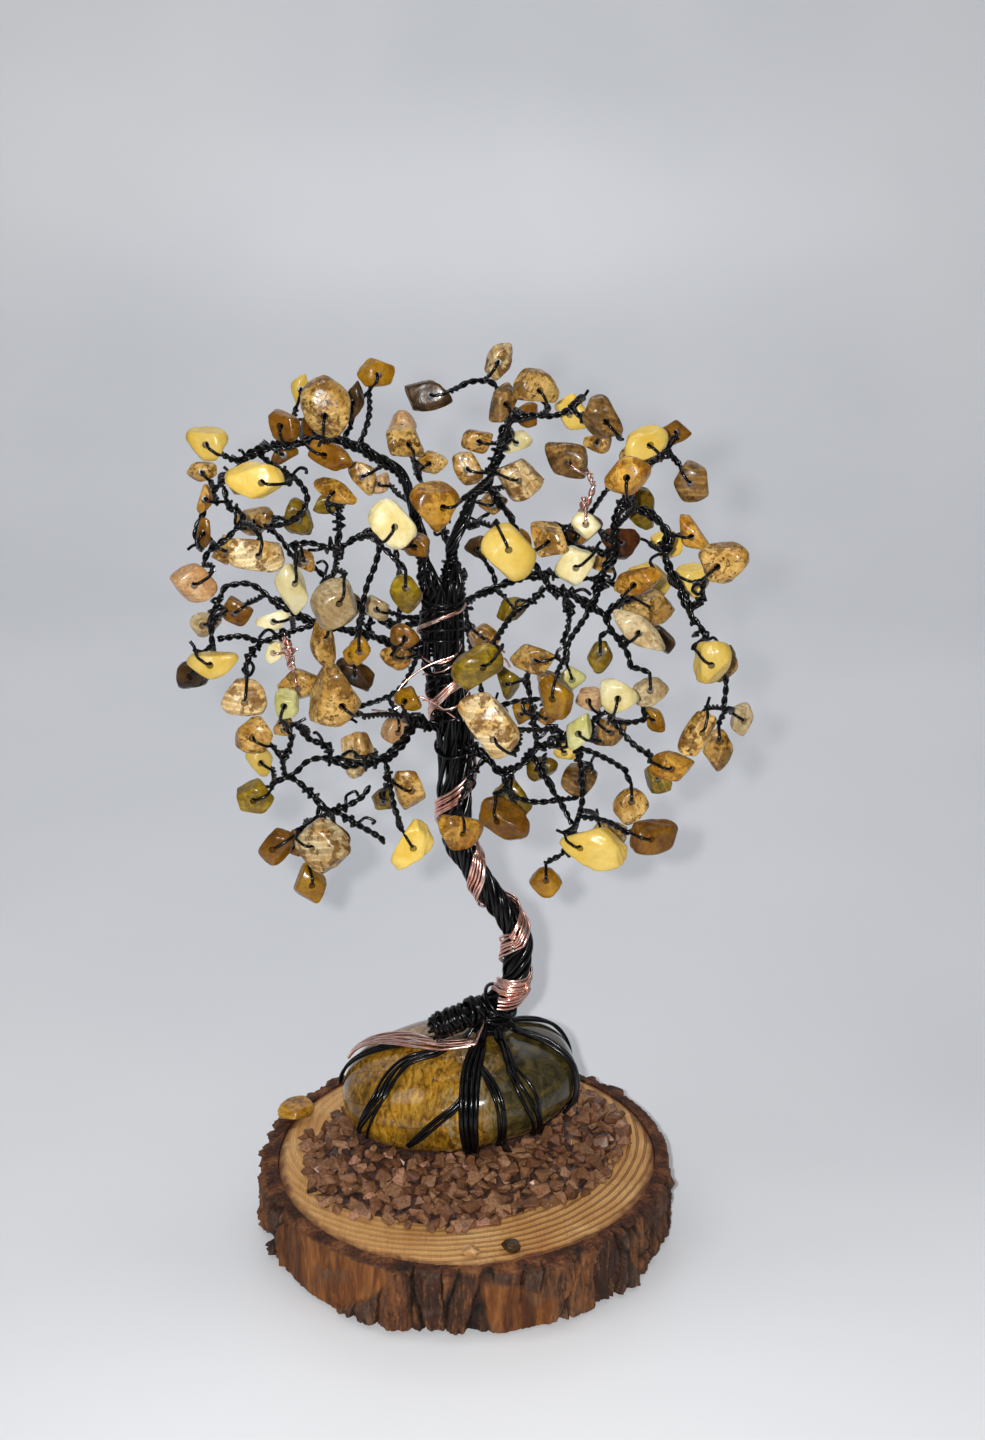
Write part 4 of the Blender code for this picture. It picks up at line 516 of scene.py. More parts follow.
def wound(route, reach, phase, pitch, wobble=0.0, seed=0.0):
    """A strand that winds round the route; reach and pitch may be functions of the place."""
    frames = moving_frames(route)
    points = []
    angle = phase
    for i, (place, (right, up)) in enumerate(zip(route, frames)):
        if i:
            step = (place - route[i - 1]).length
            angle += 2 * math.pi * step / (pitch(place) if callable(pitch) else pitch)
        out = reach(place) if callable(reach) else reach
        stray = noise.noise(Vector((seed * 7.3, i * FINE_STEP * 0.22, 0))) * wobble
        turn = angle + noise.noise(Vector((seed * 3.1, i * FINE_STEP * 0.15, 9))) * wobble * 1.4
        points.append(place + (right * math.cos(turn) + up * math.sin(turn)) * (out + stray))
    return points


def pair(route, phase, seed, radius=STRAND_RADIUS):
    """Two strands twisted together along the route."""
    pitch = PAIR_PITCH * (0.88 + 0.3 * random.Random(seed).random())
    return [wound(route, radius * 0.95, phase + turn, pitch, 0.10, seed + turn) for turn in (0, math.pi)]


# How many twisted pairs a branch holds, and how far they lie from its middle, by its radius
PAIRS = ((1.15, 1, 0.0), (1.55, 2, 0.5), (9.0, 3, 0.62))
PAIR_DROP = 0.75                # share of a branch by which its later pairs have left it


def pairs_of(radius):
    """How many pairs a branch of this radius holds, and how far they lie from its middle."""
    return next((count, reach) for most, count, reach in PAIRS if radius < most)


def rope(route, radius, seed):
    """A branch: pairs of strands laid loosely round each other, fewer towards its tip."""
    count, reach = pairs_of(radius)
    if count == 1:
        return pair(route, seed, seed)
    strands = []
    for i in range(count):
        run = route[:max(8, int(len(route) * (1 - i / count * PAIR_DROP)))]
        middle = wound(run, reach, 2 * math.pi * i / count + seed, ROPE_PITCH, 0.45, seed + i)
        strands += pair(middle, i * 1.7, seed * 10 + i)
    return strands


def binding(route, at, radius, seed):
    """A wire end wound loosely round a branch, that stands off it in a small curl."""
    rng = random.Random(seed + 2100)
    run = route[at:at + 10]
    turns = wound(run, radius, rng.uniform(0, 6), rng.uniform(1.4, 2.2), 0.35, seed + 0.5)
    away = (turns[-1] - run[-1]).normalized()
    ahead = (run[-1] - run[0]).normalized()
    tip = turns[-1]
    curl = [tip, tip + away * 1.2 + ahead * 0.6, tip + away * 1.5 + ahead * rng.uniform(1.4, 2.6),
            tip + away * rng.uniform(0.1, 0.9) + ahead * rng.uniform(2.2, 3.4)]
    return turns[:-1] + smooth_route(curl, 0.5)


def sheath(route, start, reach, phase, taper, seed):
    """A strand that leaves the trunk's top at start and closes on the branch's route."""
    offset = start - route[0]
    frames = moving_frames(route)
    points = []
    for i, (place, (right, up)) in enumerate(zip(route, frames)):
        along = i * FINE_STEP
        turn = phase + 2 * math.pi * along / SHEATH_LAY
        laid = (right * math.cos(turn) + up * math.sin(turn)) * max(0.5, reach * (1 - along / taper))
        laid *= 1 + 0.3 * noise.noise(Vector((seed * 2.3, along * 0.1, 3)))
        near = min(1.0, along / 9.0)
        near = near * near * (3 - 2 * near)
        points.append(place + offset * (1 - near) + laid * near)
    return points


def wire_piece(name, strands, nodes, body="tree"):
    """One piece of many strands: each is (points, strand radius, material slot)."""
    data = bpy.data.curves.new(name, "CURVE")
    data.dimensions = "3D"
    data.bevel_depth = MM
    data.bevel_resolution = 1
    data.use_fill_caps = True
    data.materials.append(enamel)
    data.materials.append(copper)
    for points, radius, look in strands:
        spline = data.splines.new("POLY")
        spline.points.add(len(points) - 1)
        flat = np.ones((len(points), 4))
        flat[:, :3] = np.array([tuple(p) for p in points]) * MM
        spline.points.foreach_set("co", flat.ravel())
        spline.points.foreach_set("radius", [radius] * len(points))
        spline.material_index = look
        spline.use_smooth = True
    piece = bpy.data.objects.new(name, data)
    bpy.context.scene.collection.objects.link(piece)
    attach(piece, body)
    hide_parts(*nodes)
    return piece


# Materials --------------------------------------------------------------------------------------

class Look:
    """A material and short ways to add nodes to it."""

    def __init__(self, name, **sockets):
        self.material = bpy.data.materials.new(name)
        self.material.use_nodes = True
        self.tree = self.material.node_tree
        self.shader = self.tree.nodes["Principled BSDF"]
        for socket, value in sockets.items():
            self.shader.inputs[socket.replace("_", " ")].default_value = value

    def add(self, kind, inputs=(), **settings):
        node = self.tree.nodes.new(kind)
        for key, value in settings.items():
            setattr(node, key, value)
        for key, value in dict(inputs).items():
            if isinstance(value, bpy.types.NodeSocket):
                self.tree.links.new(value, node.inputs[key])
            else:
                node.inputs[key].default_value = value
        return node

    def coords(self, scale=1000.0, stretch=(1, 1, 1), offset=(0, 0, 0)):
        """Object coordinates in millimetres."""
        place = self.add("ShaderNodeTexCoord").outputs["Object"]
        size = [scale * s for s in stretch]
        return self.add("ShaderNodeMapping", {"Vector": place, "Scale": size, "Location": offset}).outputs[0]

    def attribute(self, name, output="Vector"):
        return self.add("ShaderNodeAttribute", attribute_name=name).outputs[output]

    def noise(self, coords, scale, detail=3.0, roughness=0.5, distortion=0.0):
        return self.add("ShaderNodeTexNoise", {
            "Vector": coords, "Scale": scale, "Detail": detail, "Roughness": roughness,
            "Distortion": distortion}).outputs["Fac"]

    def cells(self, coords, scale, feature="F1", output="Distance", randomness=1.0):
        return self.add("ShaderNodeTexVoronoi", {
            "Vector": coords, "Scale": scale, "Randomness": randomness}, feature=feature).outputs[output]

    def waves(self, coords, scale, distortion=3.0, detail=2.0, kind="BANDS", direction="X"):
        node = self.add("ShaderNodeTexWave", {
            "Vector": coords, "Scale": scale, "Distortion": distortion, "Detail": detail,
            "Detail Scale": 1.0}, wave_type=kind)
        node.bands_direction = direction
        node.rings_direction = "Z"
        return node.outputs["Fac"]

    def ramp(self, factor, *stops):
        """Colours or grey values at places from 0 to 1."""
        node = self.add("ShaderNodeValToRGB", {"Fac": factor})
        band = node.color_ramp
        while len(band.elements) < len(stops):
            band.elements.new(1.0)
        for element, (place, value) in zip(band.elements, stops):
            element.position = place
            element.color = (*value, 1.0) if hasattr(value, "__len__") else (value, value, value, 1.0)
        return node.outputs["Color"]

    def mix(self, factor, a, b, mode="MIX"):
        node = self.add("ShaderNodeMix", data_type="RGBA", blend_type=mode)
        for index, value in ((0, factor), (6, a), (7, b)):
            if isinstance(value, bpy.types.NodeSocket):
                self.tree.links.new(value, node.inputs[index])
            elif index:
                node.inputs[index].default_value = (*value, 1.0)
            else:
                node.inputs[index].default_value = value
        return node.outputs[2]

    def math(self, operation, a, b):
        return self.add("ShaderNodeMath", {0: a, 1: b}, operation=operation).outputs[0]

    def span(self, value, low, high):
        return self.add("ShaderNodeMapRange", {"Value": value, "To Min": low, "To Max": high}).outputs[0]

    def finish(self, colour, roughness=None, height=None, strength=0.3, distance=0.1):
        """Wires colour, roughness and bump; the bump's distance is in millimetres."""
        self.tree.links.new(colour, self.shader.inputs["Base Color"])
        if roughness is not None:
            self.tree.links.new(roughness, self.shader.inputs["Roughness"])
        if height is not None:
            bump = self.add("ShaderNodeBump", {"Height": height, "Strength": strength,
                                               "Distance": distance * MM})
            self.tree.links.new(bump.outputs["Normal"], self.shader.inputs["Normal"])
        return self.material


def shade(red, green, blue):
    """A screen colour from 0 to 255 as linear light."""
    return tuple(((c / 255 + 0.055) / 1.055) ** 2.4 if c > 10 else c / 255 / 12.92
                 for c in (red, green, blue))


def enamel_look():
    look = Look("black_enamel", Specular_IOR_Level=0.28)
    place = look.coords()
    worn = look.noise(place, 0.5, 3)
    colour = look.ramp(worn, (0.35, shade(3, 3, 4)), (0.75, shade(10, 10, 12)))
    rough = look.span(look.noise(place, 1.3, 2), 0.10, 0.30)
    return look.finish(colour, rough, look.noise(place, 2.2, 2), 0.25, 0.08)


def copper_look():
    look = Look("rose_copper", Metallic=1.0, Coat_Weight=0.4, Coat_Roughness=0.1)
    place = look.coords()
    colour = look.ramp(look.noise(place, 0.35, 3), (0.3, shade(226, 158, 140)), (0.5, shade(246, 196, 180)),
                       (0.7, shade(255, 226, 214)))
    rough = look.span(look.noise(place, 1.5, 2), 0.12, 0.34)
    return look.finish(colour, rough, look.noise(place, 2.5, 2), 0.2, 0.06)


# Each stone: dark, middle and light colours, then how strong its patches, bands, specks and veins are
STONES = {
    "cream": (shade(184, 138, 48), shade(206, 170, 66), shade(216, 186, 96), 0.0, 0.0, 0.10, 0.15),
    "ivory": (shade(176, 150, 84), shade(206, 188, 124), shade(222, 212, 168), 0.0, 0.10, 0.05, 0.25),
    "celadon": (shade(128, 120, 54), shade(172, 166, 96), shade(200, 196, 140), 0.0, 0.15, 0.05, 0.2),
    "amber": (shade(80, 44, 0), shade(136, 90, 2), shade(168, 124, 12), 0.35, 0.10, 0.20, 0.5),
    "golden": (shade(92, 50, 4), shade(156, 102, 18), shade(192, 146, 56), 0.75, 0.35, 0.55, 0.5),
    "jasper": (shade(84, 50, 8), shade(166, 120, 46), shade(208, 170, 98), 0.85, 0.25, 0.95, 0.4),
    "banded": (shade(96, 54, 8), shade(196, 154, 84), shade(226, 204, 156), 0.95, 0.40, 0.50, 0.4),
    "striped": (shade(46, 28, 8), shade(112, 78, 32), shade(168, 128, 70), 0.60, 0.50, 0.50, 0.4),
    "sand": (shade(112, 84, 46), shade(166, 138, 92), shade(200, 180, 138), 0.45, 0.25, 0.55, 0.3),
    "blush": (shade(140, 90, 46), shade(184, 138, 88), shade(210, 176, 132), 0.45, 0.20, 0.60, 0.3),
    "russet": (shade(62, 33, 0), shade(106, 64, 2), shade(138, 92, 12), 0.40, 0.15, 0.25, 0.5),
    "maroon": (shade(28, 11, 3), shade(60, 26, 6), shade(94, 50, 16), 0.40, 0.20, 0.20, 0.4),
    "olive": (shade(52, 34, 0), shade(106, 80, 6), shade(150, 124, 24), 0.50, 0.30, 0.30, 0.5),
    "dark": (shade(20, 12, 4), shade(48, 30, 10), shade(84, 58, 24), 0.40, 0.20, 0.20, 0.4),
}


def stone_look(name, dark, middle, light, patches, bands, specks, veins):
    """Tumbled stone: clouds, patches of grains, wavy bands and thin veins under a polish."""
    look = Look(f"stone_{name}", Coat_Weight=0.2, Coat_Roughness=0.06, Specular_IOR_Level=0.25)
    grain = look.attribute("grain")
    clouds = look.noise(grain, 0.20, 3, 0.5, 0.3)
    colour = look.ramp(clouds, (0.36, middle), (0.62, light))
    fine = look.noise(grain, 1.25, 4, 0.75)
    patch = look.noise(grain, 0.24, 5, 0.62, 0.6)
    patch = look.math("ADD", patch, look.math("MULTIPLY", look.math("SUBTRACT", fine, 0.5), 0.35))
    patch = look.ramp(patch, (0.50, 0.0), (0.56, patches))
    colour = look.mix(patch, colour, tuple(0.55 * d + 0.25 * m for d, m in zip(dark, middle)))
    wavy = look.waves(grain, 0.13, 4.0, 3.0, direction="Z")
    stripe = look.ramp(wavy, (0.22, bands), (0.42, 0.0), (0.78, 0.0), (0.9, bands * 0.6))
    colour = look.mix(stripe, colour, tuple(c * 0.75 for c in dark))
    speck = look.ramp(fine, (0.53, 0.0), (0.63, specks))
    colour = look.mix(speck, colour, tuple(c * 0.62 for c in dark))
    pale = look.ramp(look.noise(grain, 0.8, 3, 0.6), (0.60, 0.0), (0.72, specks * 0.7))
    colour = look.mix(pale, colour, light)
    vein = look.noise(grain, 0.28, 5, 0.6, 0.8)
    vein = look.ramp(vein, (0.486, 0.0), (0.5, veins), (0.514, 0.0))
    colour = look.mix(vein, colour, tuple(c * 0.5 for c in dark))
    tone = look.span(look.attribute("tone", "Fac"), 0.72, 1.06)
    colour = look.mix(1.0, colour, look.add("ShaderNodeCombineColor", {0: tone, 1: tone, 2: tone}).outputs[0],
                      "MULTIPLY")
    rough = look.span(look.noise(grain, 0.8, 3), 0.14, 0.42)
    height = look.noise(grain, 1.1, 4, 0.6)
    return look.finish(colour, rough, height, 0.40, 0.14)


# Chips ------------------------------------------------------------------------------------------

EDGE_SHARPNESS = 22             # higher is a crisper edge between worn flats
CHIP_DETAIL = 5                 # subdivisions of the ball that a chip starts as
CHIP_PROUD = 1.07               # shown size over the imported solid's
WIRE_LIFT = 0.36                # from a chip's surface to the middle of its wire
TWIG_RISE = 0.8                 # a pendant's twig passes this far over where its twist starts
TWIST_START = 1.0               # from a chip's edge to where its two strands meet
BURIED = 30.0


def ball_rays(subdivisions):
    """The corners and faces of a ball of radius one."""
    bm = bmesh.new()
    bmesh.ops.create_icosphere(bm, subdivisions=subdivisions, radius=1.0)
    rays = np.array([tuple(v.co.normalized()) for v in bm.verts])
    faces = [[v.index for v in f.verts] for f in bm.faces]
    bm.free()
    return rays, faces


BALL = ball_rays(CHIP_DETAIL)


def worn_flats(seed, sides=None, tilt=0.0):
    """Flats round the outline, one on each broad side, and small ones that only show up close."""
    rng = random.Random(seed)
    if sides is None:
        count, start = rng.choice((3, 4, 4, 5)), rng.uniform(0, 360)
        sides = [(start + 360 * i / count + rng.uniform(-14, 14), rng.uniform(0.60, 0.82))
                 for i in range(count)]
    flats = []
    for facing, depth in sides:
        angle = math.radians(facing - tilt)
        flats.append((Vector((math.cos(angle), rng.uniform(-0.35, 0.35), math.sin(angle))), depth))
    for side in (-1, 1):
        normal = Vector((rng.uniform(-0.3, 0.3), side, rng.uniform(-0.3, 0.3)))
        flats.append((normal, rng.uniform(0.72, 0.86)))
    for _ in range(6):
        flats.append((Vector((rng.gauss(0, 1), rng.gauss(0, 1), rng.gauss(0, 1))), rng.uniform(0.88, 0.98)))
    return [(np.array(normal.normalized()), depth) for normal, depth in flats]


def chip_reach(seed, flats, rays):
    """How far the surface lies along each ray: flats with soft edges, and slow dents."""
    total = np.ones(len(rays))
    for normal, depth in flats:
        total += (np.clip(rays @ normal, 0, None) / depth) ** EDGE_SHARPNESS
    reach = total ** (-1 / EDGE_SHARPNESS)
    rng = np.random.default_rng(seed)
    for size, depth in ((2.5, 0.018), (5.0, 0.010), (9.0, 0.005)):
        for _ in range(3):
            direction = rng.normal(size=3) * size
            reach = reach * (1 + depth * np.sin(rays @ direction + rng.uniform(0, 6.3)))
    return reach


class Chip:
    """One chip: its shape, its drilled hole and the wire that holds it."""

    def __init__(self, index, entry, route):
        self.name, self.branch, self.drilled, self.stone, centre, length, width, tilt = entry
        self.seed, self.tilt = index, tilt
        self.centre = Vector(centre)
        self.hangs = self.drilled == "hang"
        self.turn = Matrix.Rotation(-math.radians(tilt), 3, "Y") if self.hangs else chip_turn(index, tilt)
        self.half = Vector((length / 2, width * CHIP_FLATNESS / 2, width / 2))
        self.shown = self.half * (1.0 if self.hangs else CHIP_PROUD)
        self.axis = Vector((0, 1, 0)) if self.hangs else self.turn.col[1].copy()
        self.anchor = nearest_on_route(route, self.centre)
        pull = Vector((0, 0, 1)) if self.hangs else self.anchor - self.centre
        self.pull = (pull - self.axis * pull.dot(self.axis)).normalized()
        edge = reach_along(self.half, self.turn, self.pull)
        self.hole = self.centre + self.pull * (edge - min(edge, HANG_LAND if self.hangs else FRONT_LAND))
        self.mesh = self.shape()
        self.tree = BVHTree.FromPolygons([v.co for v in self.mesh.vertices],
                                         [p.vertices for p in self.mesh.polygons])
        outside = self.hole + self.pull * BURIED
        hit = self.tree.ray_cast(outside, -self.pull)[0]
        self.edge = (hit - self.hole).length if hit else 1.0
        self.twist = self.hole + self.pull * (self.edge + TWIST_START)

    def shape(self):
        rays, faces = BALL
        sides = HANGING_FACETS if self.hangs else FACETS.get(self.name)
        reach = chip_reach(self.seed, worn_flats(self.seed, sides, self.tilt), rays)
        local = rays * reach[:, None]
        local *= np.array(self.shown) / np.minimum(1.0, np.abs(local).max(axis=0) + 0.02)
        places = local @ np.array(self.turn).T + np.array(self.centre)
        mesh = bpy.data.meshes.new("chip")
        mesh.from_pydata(places.tolist(), [], faces)
        return mesh

    def above(self, share, side):
        """The wire's place over the chip, from the hole (share 0) to the edge (share 1)."""
        foot = self.hole + self.pull * self.edge * share
        hit = self.tree.ray_cast(foot + self.axis * side * BURIED, -self.axis * side)[0]
        height = (hit - foot).dot(self.axis * side) if hit else 0.0
        return foot + self.axis * side * (max(0.0, height) + WIRE_LIFT)

    def loop(self):
        """From the twist over the front, through the hole, and back behind to the twist."""
        front = [self.above(share, -1) for share in (0.95, 0.6, 0.25)]
        rear = [self.above(share, 1) for share in (0.25, 0.6, 0.95)]
        dip = [self.hole - self.axis * self.half.y * 0.3, self.hole + self.axis * self.half.y * 0.3]
        return smooth_route([self.twist, *front, *dip, *rear, self.twist], 0.5)

    def twig(self):
        """The route of the twisted pair from the branch to the chip."""
        rng = random.Random(self.seed + 900)
        bend = Vector((rng.uniform(-1, 1), rng.uniform(-1, 1), rng.uniform(-1, 1)))
        length = (self.twist - self.anchor).length
        middle = self.anchor.lerp(self.twist, 0.5) + bend * min(1.2, length * 0.1)
        if self.hangs:
            middle.z = max(middle.z, self.twist.z + TWIG_RISE)
        return smooth_route([self.anchor, middle, self.twist], FINE_STEP)

    def tail(self):
        """A cut end that stands off where the twist starts."""
        rng = random.Random(self.seed + 1300)
        away = (self.pull * 0.6 + self.axis * rng.uniform(-1, 1) + Vector((rng.uniform(-.6, .6), 0, 0.4)))
        away.normalize()
        tip = self.twist + away * 1.5 + self.pull * 0.8
        return smooth_route([self.twist, self.twist + away * 0.9, tip], 0.4)

    def drilled_mesh(self):
        """The chip with its hole cut through and its pattern's coordinates on it, in metres."""
        bm = bmesh.new()
        facing = self.axis.to_track_quat("Z", "Y").to_matrix().to_4x4()
        bmesh.ops.create_cone(bm, cap_ends=True, segments=14, radius1=BORE_RADIUS * 0.9,
                              radius2=BORE_RADIUS * 0.9, depth=self.half.y * 2 + 6,
                              matrix=Matrix.Translation(self.hole) @ facing)
        cutter_mesh = bpy.data.meshes.new("bore")
        bm.to_mesh(cutter_mesh)
        bm.free()
        blank = bpy.data.objects.new("blank", self.mesh)
        cutter = bpy.data.objects.new("cutter", cutter_mesh)
        for item in (blank, cutter):
            bpy.context.scene.collection.objects.link(item)
        cut = blank.modifiers.new("bore", "BOOLEAN")
        cut.solver = "MANIFOLD"
        cut.object = cutter
        graph = bpy.context.evaluated_depsgraph_get()
        mesh = bpy.data.meshes.new_from_object(blank.evaluated_get(graph))
        bpy.data.objects.remove(blank)
        bpy.data.objects.remove(cutter)
        rng = random.Random(self.seed + 77)
        spin = Matrix.Rotation(rng.uniform(0, 6.28), 3, Vector((rng.gauss(0, 1), rng.gauss(0, 1), 1)))
        shift = Vector((rng.uniform(0, 90), rng.uniform(0, 90), rng.uniform(0, 90)))
        spots = np.empty(len(mesh.vertices) * 3)
        mesh.vertices.foreach_get("co", spots)
        spots = (spots.reshape(-1, 3) - np.array(self.centre)) @ np.array(spin).T + np.array(shift)
        mesh.attributes.new("grain", "FLOAT_VECTOR", "POINT").data.foreach_set("vector", spots.ravel())
        mesh.attributes.new("tone", "FLOAT", "POINT").data.foreach_set("value", [rng.random()] * len(spots))
        mesh.transform(Matrix.Scale(MM, 4))
        mesh.shade_smooth()
        mesh.set_sharp_from_angle(angle=math.radians(40))
        mesh.materials.clear()
        mesh.materials.append(stones[self.stone])
        return mesh


def body_of_node(node):
    bodies = frame["record"]["behaviour"]["bodies"]
    return next(body for body, nodes in bodies.items() if node in nodes)


def add_piece(name, mesh, body, nodes):
    piece = bpy.data.objects.new(name, mesh)
    bpy.context.scene.collection.objects.link(piece)
    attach(piece, body)
    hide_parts(*nodes)
    return piece


def joined(name, meshes):
    """One mesh of many, with their attributes and materials kept."""
    objects = [bpy.data.objects.new("part", mesh) for mesh in meshes]
    for item in objects:
        bpy.context.scene.collection.objects.link(item)
    with bpy.context.temp_override(active_object=objects[0], selected_editable_objects=objects):
        bpy.ops.object.join()
    mesh = objects[0].data
    bpy.data.objects.remove(objects[0])
    mesh.name = name
    return mesh


TRUNK_TOP = 139.0
PENDANT_ROOM = 1.5              # loose wire ends stay this far out of a hanging chip's reach
BUNDLE_RADIUS = 1.05            # a branch thicker than this has a second loose end
LONG_ROUTE = 60                 # and so has one with more points than this
SHEATH_FOOT = 16                # how far under the trunk's top its outermost strands start
SHEATH_REACH = 1.5              # how far those strands lie from the middle of a branch
# Strands of the trunk that go on up a branch: where each leaves the trunk's top, and how far it goes
SHEATHS = (
    ("left_arch", "arch", ((150, 44), (185, 36), (215, 30), (245, 52), (120, 26), (275, 22))),
    ("crown_leader", "crown", ((20, 48), (-15, 38), (-45, 30), (55, 44), (-75, 24), (90, 28))),
)


def reach_of(radius):
    """How far out a wire wound round a branch of this radius lies."""
    return pairs_of(radius)[1] + PAIR_RADIUS + STRAND_RADIUS


def loose_ends(route, radius, seed, pendants):
    """Wire ends wound round a branch near its start and, if it is thick and long, near its tip."""
    length = len(route)
    spots = [random.Random(seed + 60).randrange(4, max(5, length // 3))]
    if radius > BUNDLE_RADIUS and length > LONG_ROUTE:
        spots.append(random.Random(seed + 61).randrange(length // 2, length - 20))
    ends = [binding(route, at, reach_of(radius), seed + 50 * k) for k, at in enumerate(spots)]
    return [turns for turns in ends
            if all((place - hole).length > room for place in turns for hole, room in pendants)]


def sheath_strands(route, spots, seed):
    """Strands that run up the trunk's outside and go on round a branch."""
    strands = []
    for i, (turn, length) in enumerate(spots):
        angle = math.radians(turn)
        covered = route[:int(length / FINE_STEP)]
        near = sum(1 for place in covered if place.z < TRUNK_TOP)
        centre, out, radius = around_trunk(TRUNK_TOP, angle)
        low, _, low_radius = around_trunk(TRUNK_TOP - SHEATH_FOOT, 0)
        foot = low + out * (low_radius + 0.1)
        top = centre + out * (radius - 0.2)
        climb = smooth_route([foot, foot.lerp(top, 0.5) + out * 0.25, top], 0.7)[:-1]
        run = sheath(covered[near:], top, SHEATH_REACH, angle, length * 1.1, i + seed)
        strands.append((climb + run, STRAND_RADIUS * 1.15, BLACK))
    return strands


def build_canopy():
    """The branches, the twig and loop of every chip, and the chips."""
    routes = {branch: smooth_route(points, FINE_STEP) for _, branch, _, points in BRANCHES}
    limb_of = {branch: limb for limb, branch, _, _ in BRANCHES}
    chips = [Chip(index, entry, routes[entry[1]]) for index, entry in enumerate(CHIPS)]
    pendants = [(chip.hole, 2 * chip.half.x + PENDANT_ROOM) for chip in chips if chip.hangs]
    strands = {limb: [] for limb in dict.fromkeys(limb_of.values())}
    for seed, (limb, branch, radius, _) in enumerate(BRANCHES):
        look = COPPER if "copper" in branch else BLACK
        wires = rope(routes[branch], radius, seed) + loose_ends(routes[branch], radius, seed, pendants)
        strands[limb] += [(points, STRAND_RADIUS, look) for points in wires]
    for limb, branch, spots in SHEATHS:
        strands[limb] += sheath_strands(routes[branch], spots, len(limb))
    loose = {limb: [] for limb in strands}
    for index, chip in enumerate(chips):
        limb = limb_of[chip.branch]
        look = COPPER if "copper" in chip.branch else BLACK
        wires = [*pair(chip.twig(), index, index + 300), chip.loop()]
        if index % 2 == 0 and not chip.hangs:
            wires.append(chip.tail())
        strands[limb] += [(points, STRAND_RADIUS * 0.95, look) for points in wires]
        mesh = chip.drilled_mesh()
        if chip.name:
            add_piece(chip.name.replace("chip", "stone"), mesh, body_of_node(chip.name), [chip.name])
        else:
            loose[limb].append(mesh)
    for limb, wires in strands.items():
        wire_piece(f"{limb}_wires", wires, [limb])
        if loose[limb]:
            add_piece(f"{limb}_stones", joined(limb, loose[limb]), "tree", [limb])


# Trunk, knot, ribbon and roots ------------------------------------------------------------------

def radius_on_trunk(place):
    heights = [centre[2] for centre, _ in TRUNK]
    radii = [radius for _, radius in TRUNK]
    return float(np.interp(place.z, heights, radii))


def trunk_lay(place):
    """Length of one turn of the trunk's strands: a rope below, nearly straight above."""
    return 24.0 if place.z < 80 else 24.0 + (place.z - 80) * 2.2


# Wires wound round the trunk: height, turns, rise, lean and look
TRUNK_WRAPS = (
    (122, 2.2, 4.5, 1.6, BLACK), (131, 1.6, 3.0, -2.0, BLACK), (113, 1.4, 3.0, 1.2, BLACK),
    (136, 2.3, 2.5, 1.4, BLACK), (127, 2.6, 6.0, -1.0, BLACK), (117, 1.2, 2.0, -2.4, BLACK),
    (104, 1.3, 2.0, 1.8, BLACK), (125, 1.4, 5.0, 2.6, COPPER), (116, 1.2, 2.0, 2.0, COPPER),
)
# Fine copper ends that stray from the trunk
TRUNK_THREADS = (
    ((-8.5, 11, 121), (-4, 7.6, 123), (1.0, 9.5, 126), (5, 8, 128.5), (8.5, 7, 127)),
    ((-8.6, 12, 115), (-4.5, 8, 117), (0.5, 9.5, 120), (4, 9, 124), (8, 8, 125.5), (9.5, 8, 123.5)),
    ((-1, 8, 112), (-6.5, 8, 116), (-10, 8, 117), (-15, 7, 114.5), (-19, 6, 115)),
    ((-2, 8, 126), (-7.5, 7.5, 124), (-12, 6, 121), (-14.5, 5, 117.5)),
)


TRUNK_STRANDS = 15
TRUNK_CORE = 2.3                # radius of the plain core that the strands lie round
STEPS_A_TURN = 26
TRUNK_WRAP_TOP = 140            # no wrap is laid higher than this


def wrap_round_trunk(i, height, turns, rise, lean):
    """A wire wound loosely and aslant round the trunk."""
    points = []
    steps = int(turns * STEPS_A_TURN)
    for k in range(steps + 1):
        angle = 2 * math.pi * turns * k / steps + i * 1.9
        z = height + rise * k / steps + lean * math.sin(angle)
        centre, out, radius = around_trunk(min(z, TRUNK_WRAP_TOP), angle)
        stand = 0.3 + 0.9 * abs(noise.noise(Vector((k * 0.06, i * 4.3, 0))))
        points.append(centre + out * (radius + stand))
    return points


def build_trunk():
    """A rope of strands round a core, with loose wraps and stray copper threads."""
    route = smooth_route([place for place, _ in TRUNK], 0.6)
    strands = [(route, TRUNK_CORE, BLACK)]
    for i in range(TRUNK_STRANDS):
        phase = 2 * math.pi * i / TRUNK_STRANDS
        size = TRUNK_STRAND * random.Random(i + 40).uniform(0.8, 1.25)
        points = wound(route, lambda place: radius_on_trunk(place) - TRUNK_STRAND * 0.75, phase, trunk_lay,
                       0.5, i + 60)
        strands.append((points, size, BLACK))
    for i, (height, turns, rise, lean, look) in enumerate(TRUNK_WRAPS):
        size = STRAND_RADIUS if look == BLACK else COPPER_STRAND
        strands.append((wrap_round_trunk(i, height, turns, rise, lean), size, look))
    for route in TRUNK_THREADS:
        strands.append((smooth_route(route, 0.5), COPPER_STRAND * 0.8, COPPER))
    wire_piece("trunk_wires", strands, ["trunk"])


def ring_about(centre, axis, radius, squash, phase):
    """One closed turn of wire round an axis."""
    right = axis.orthogonal().normalized()
    up = axis.cross(right)
    points = []
    for k in range(31):
        angle = 2 * math.pi * k / 30 * 1.1 + phase
        points.append(centre + right * radius * math.cos(angle) + up * radius * squash * math.sin(angle)
                      + axis * 0.35 * math.sin(angle * 0.5 + phase))
    return points


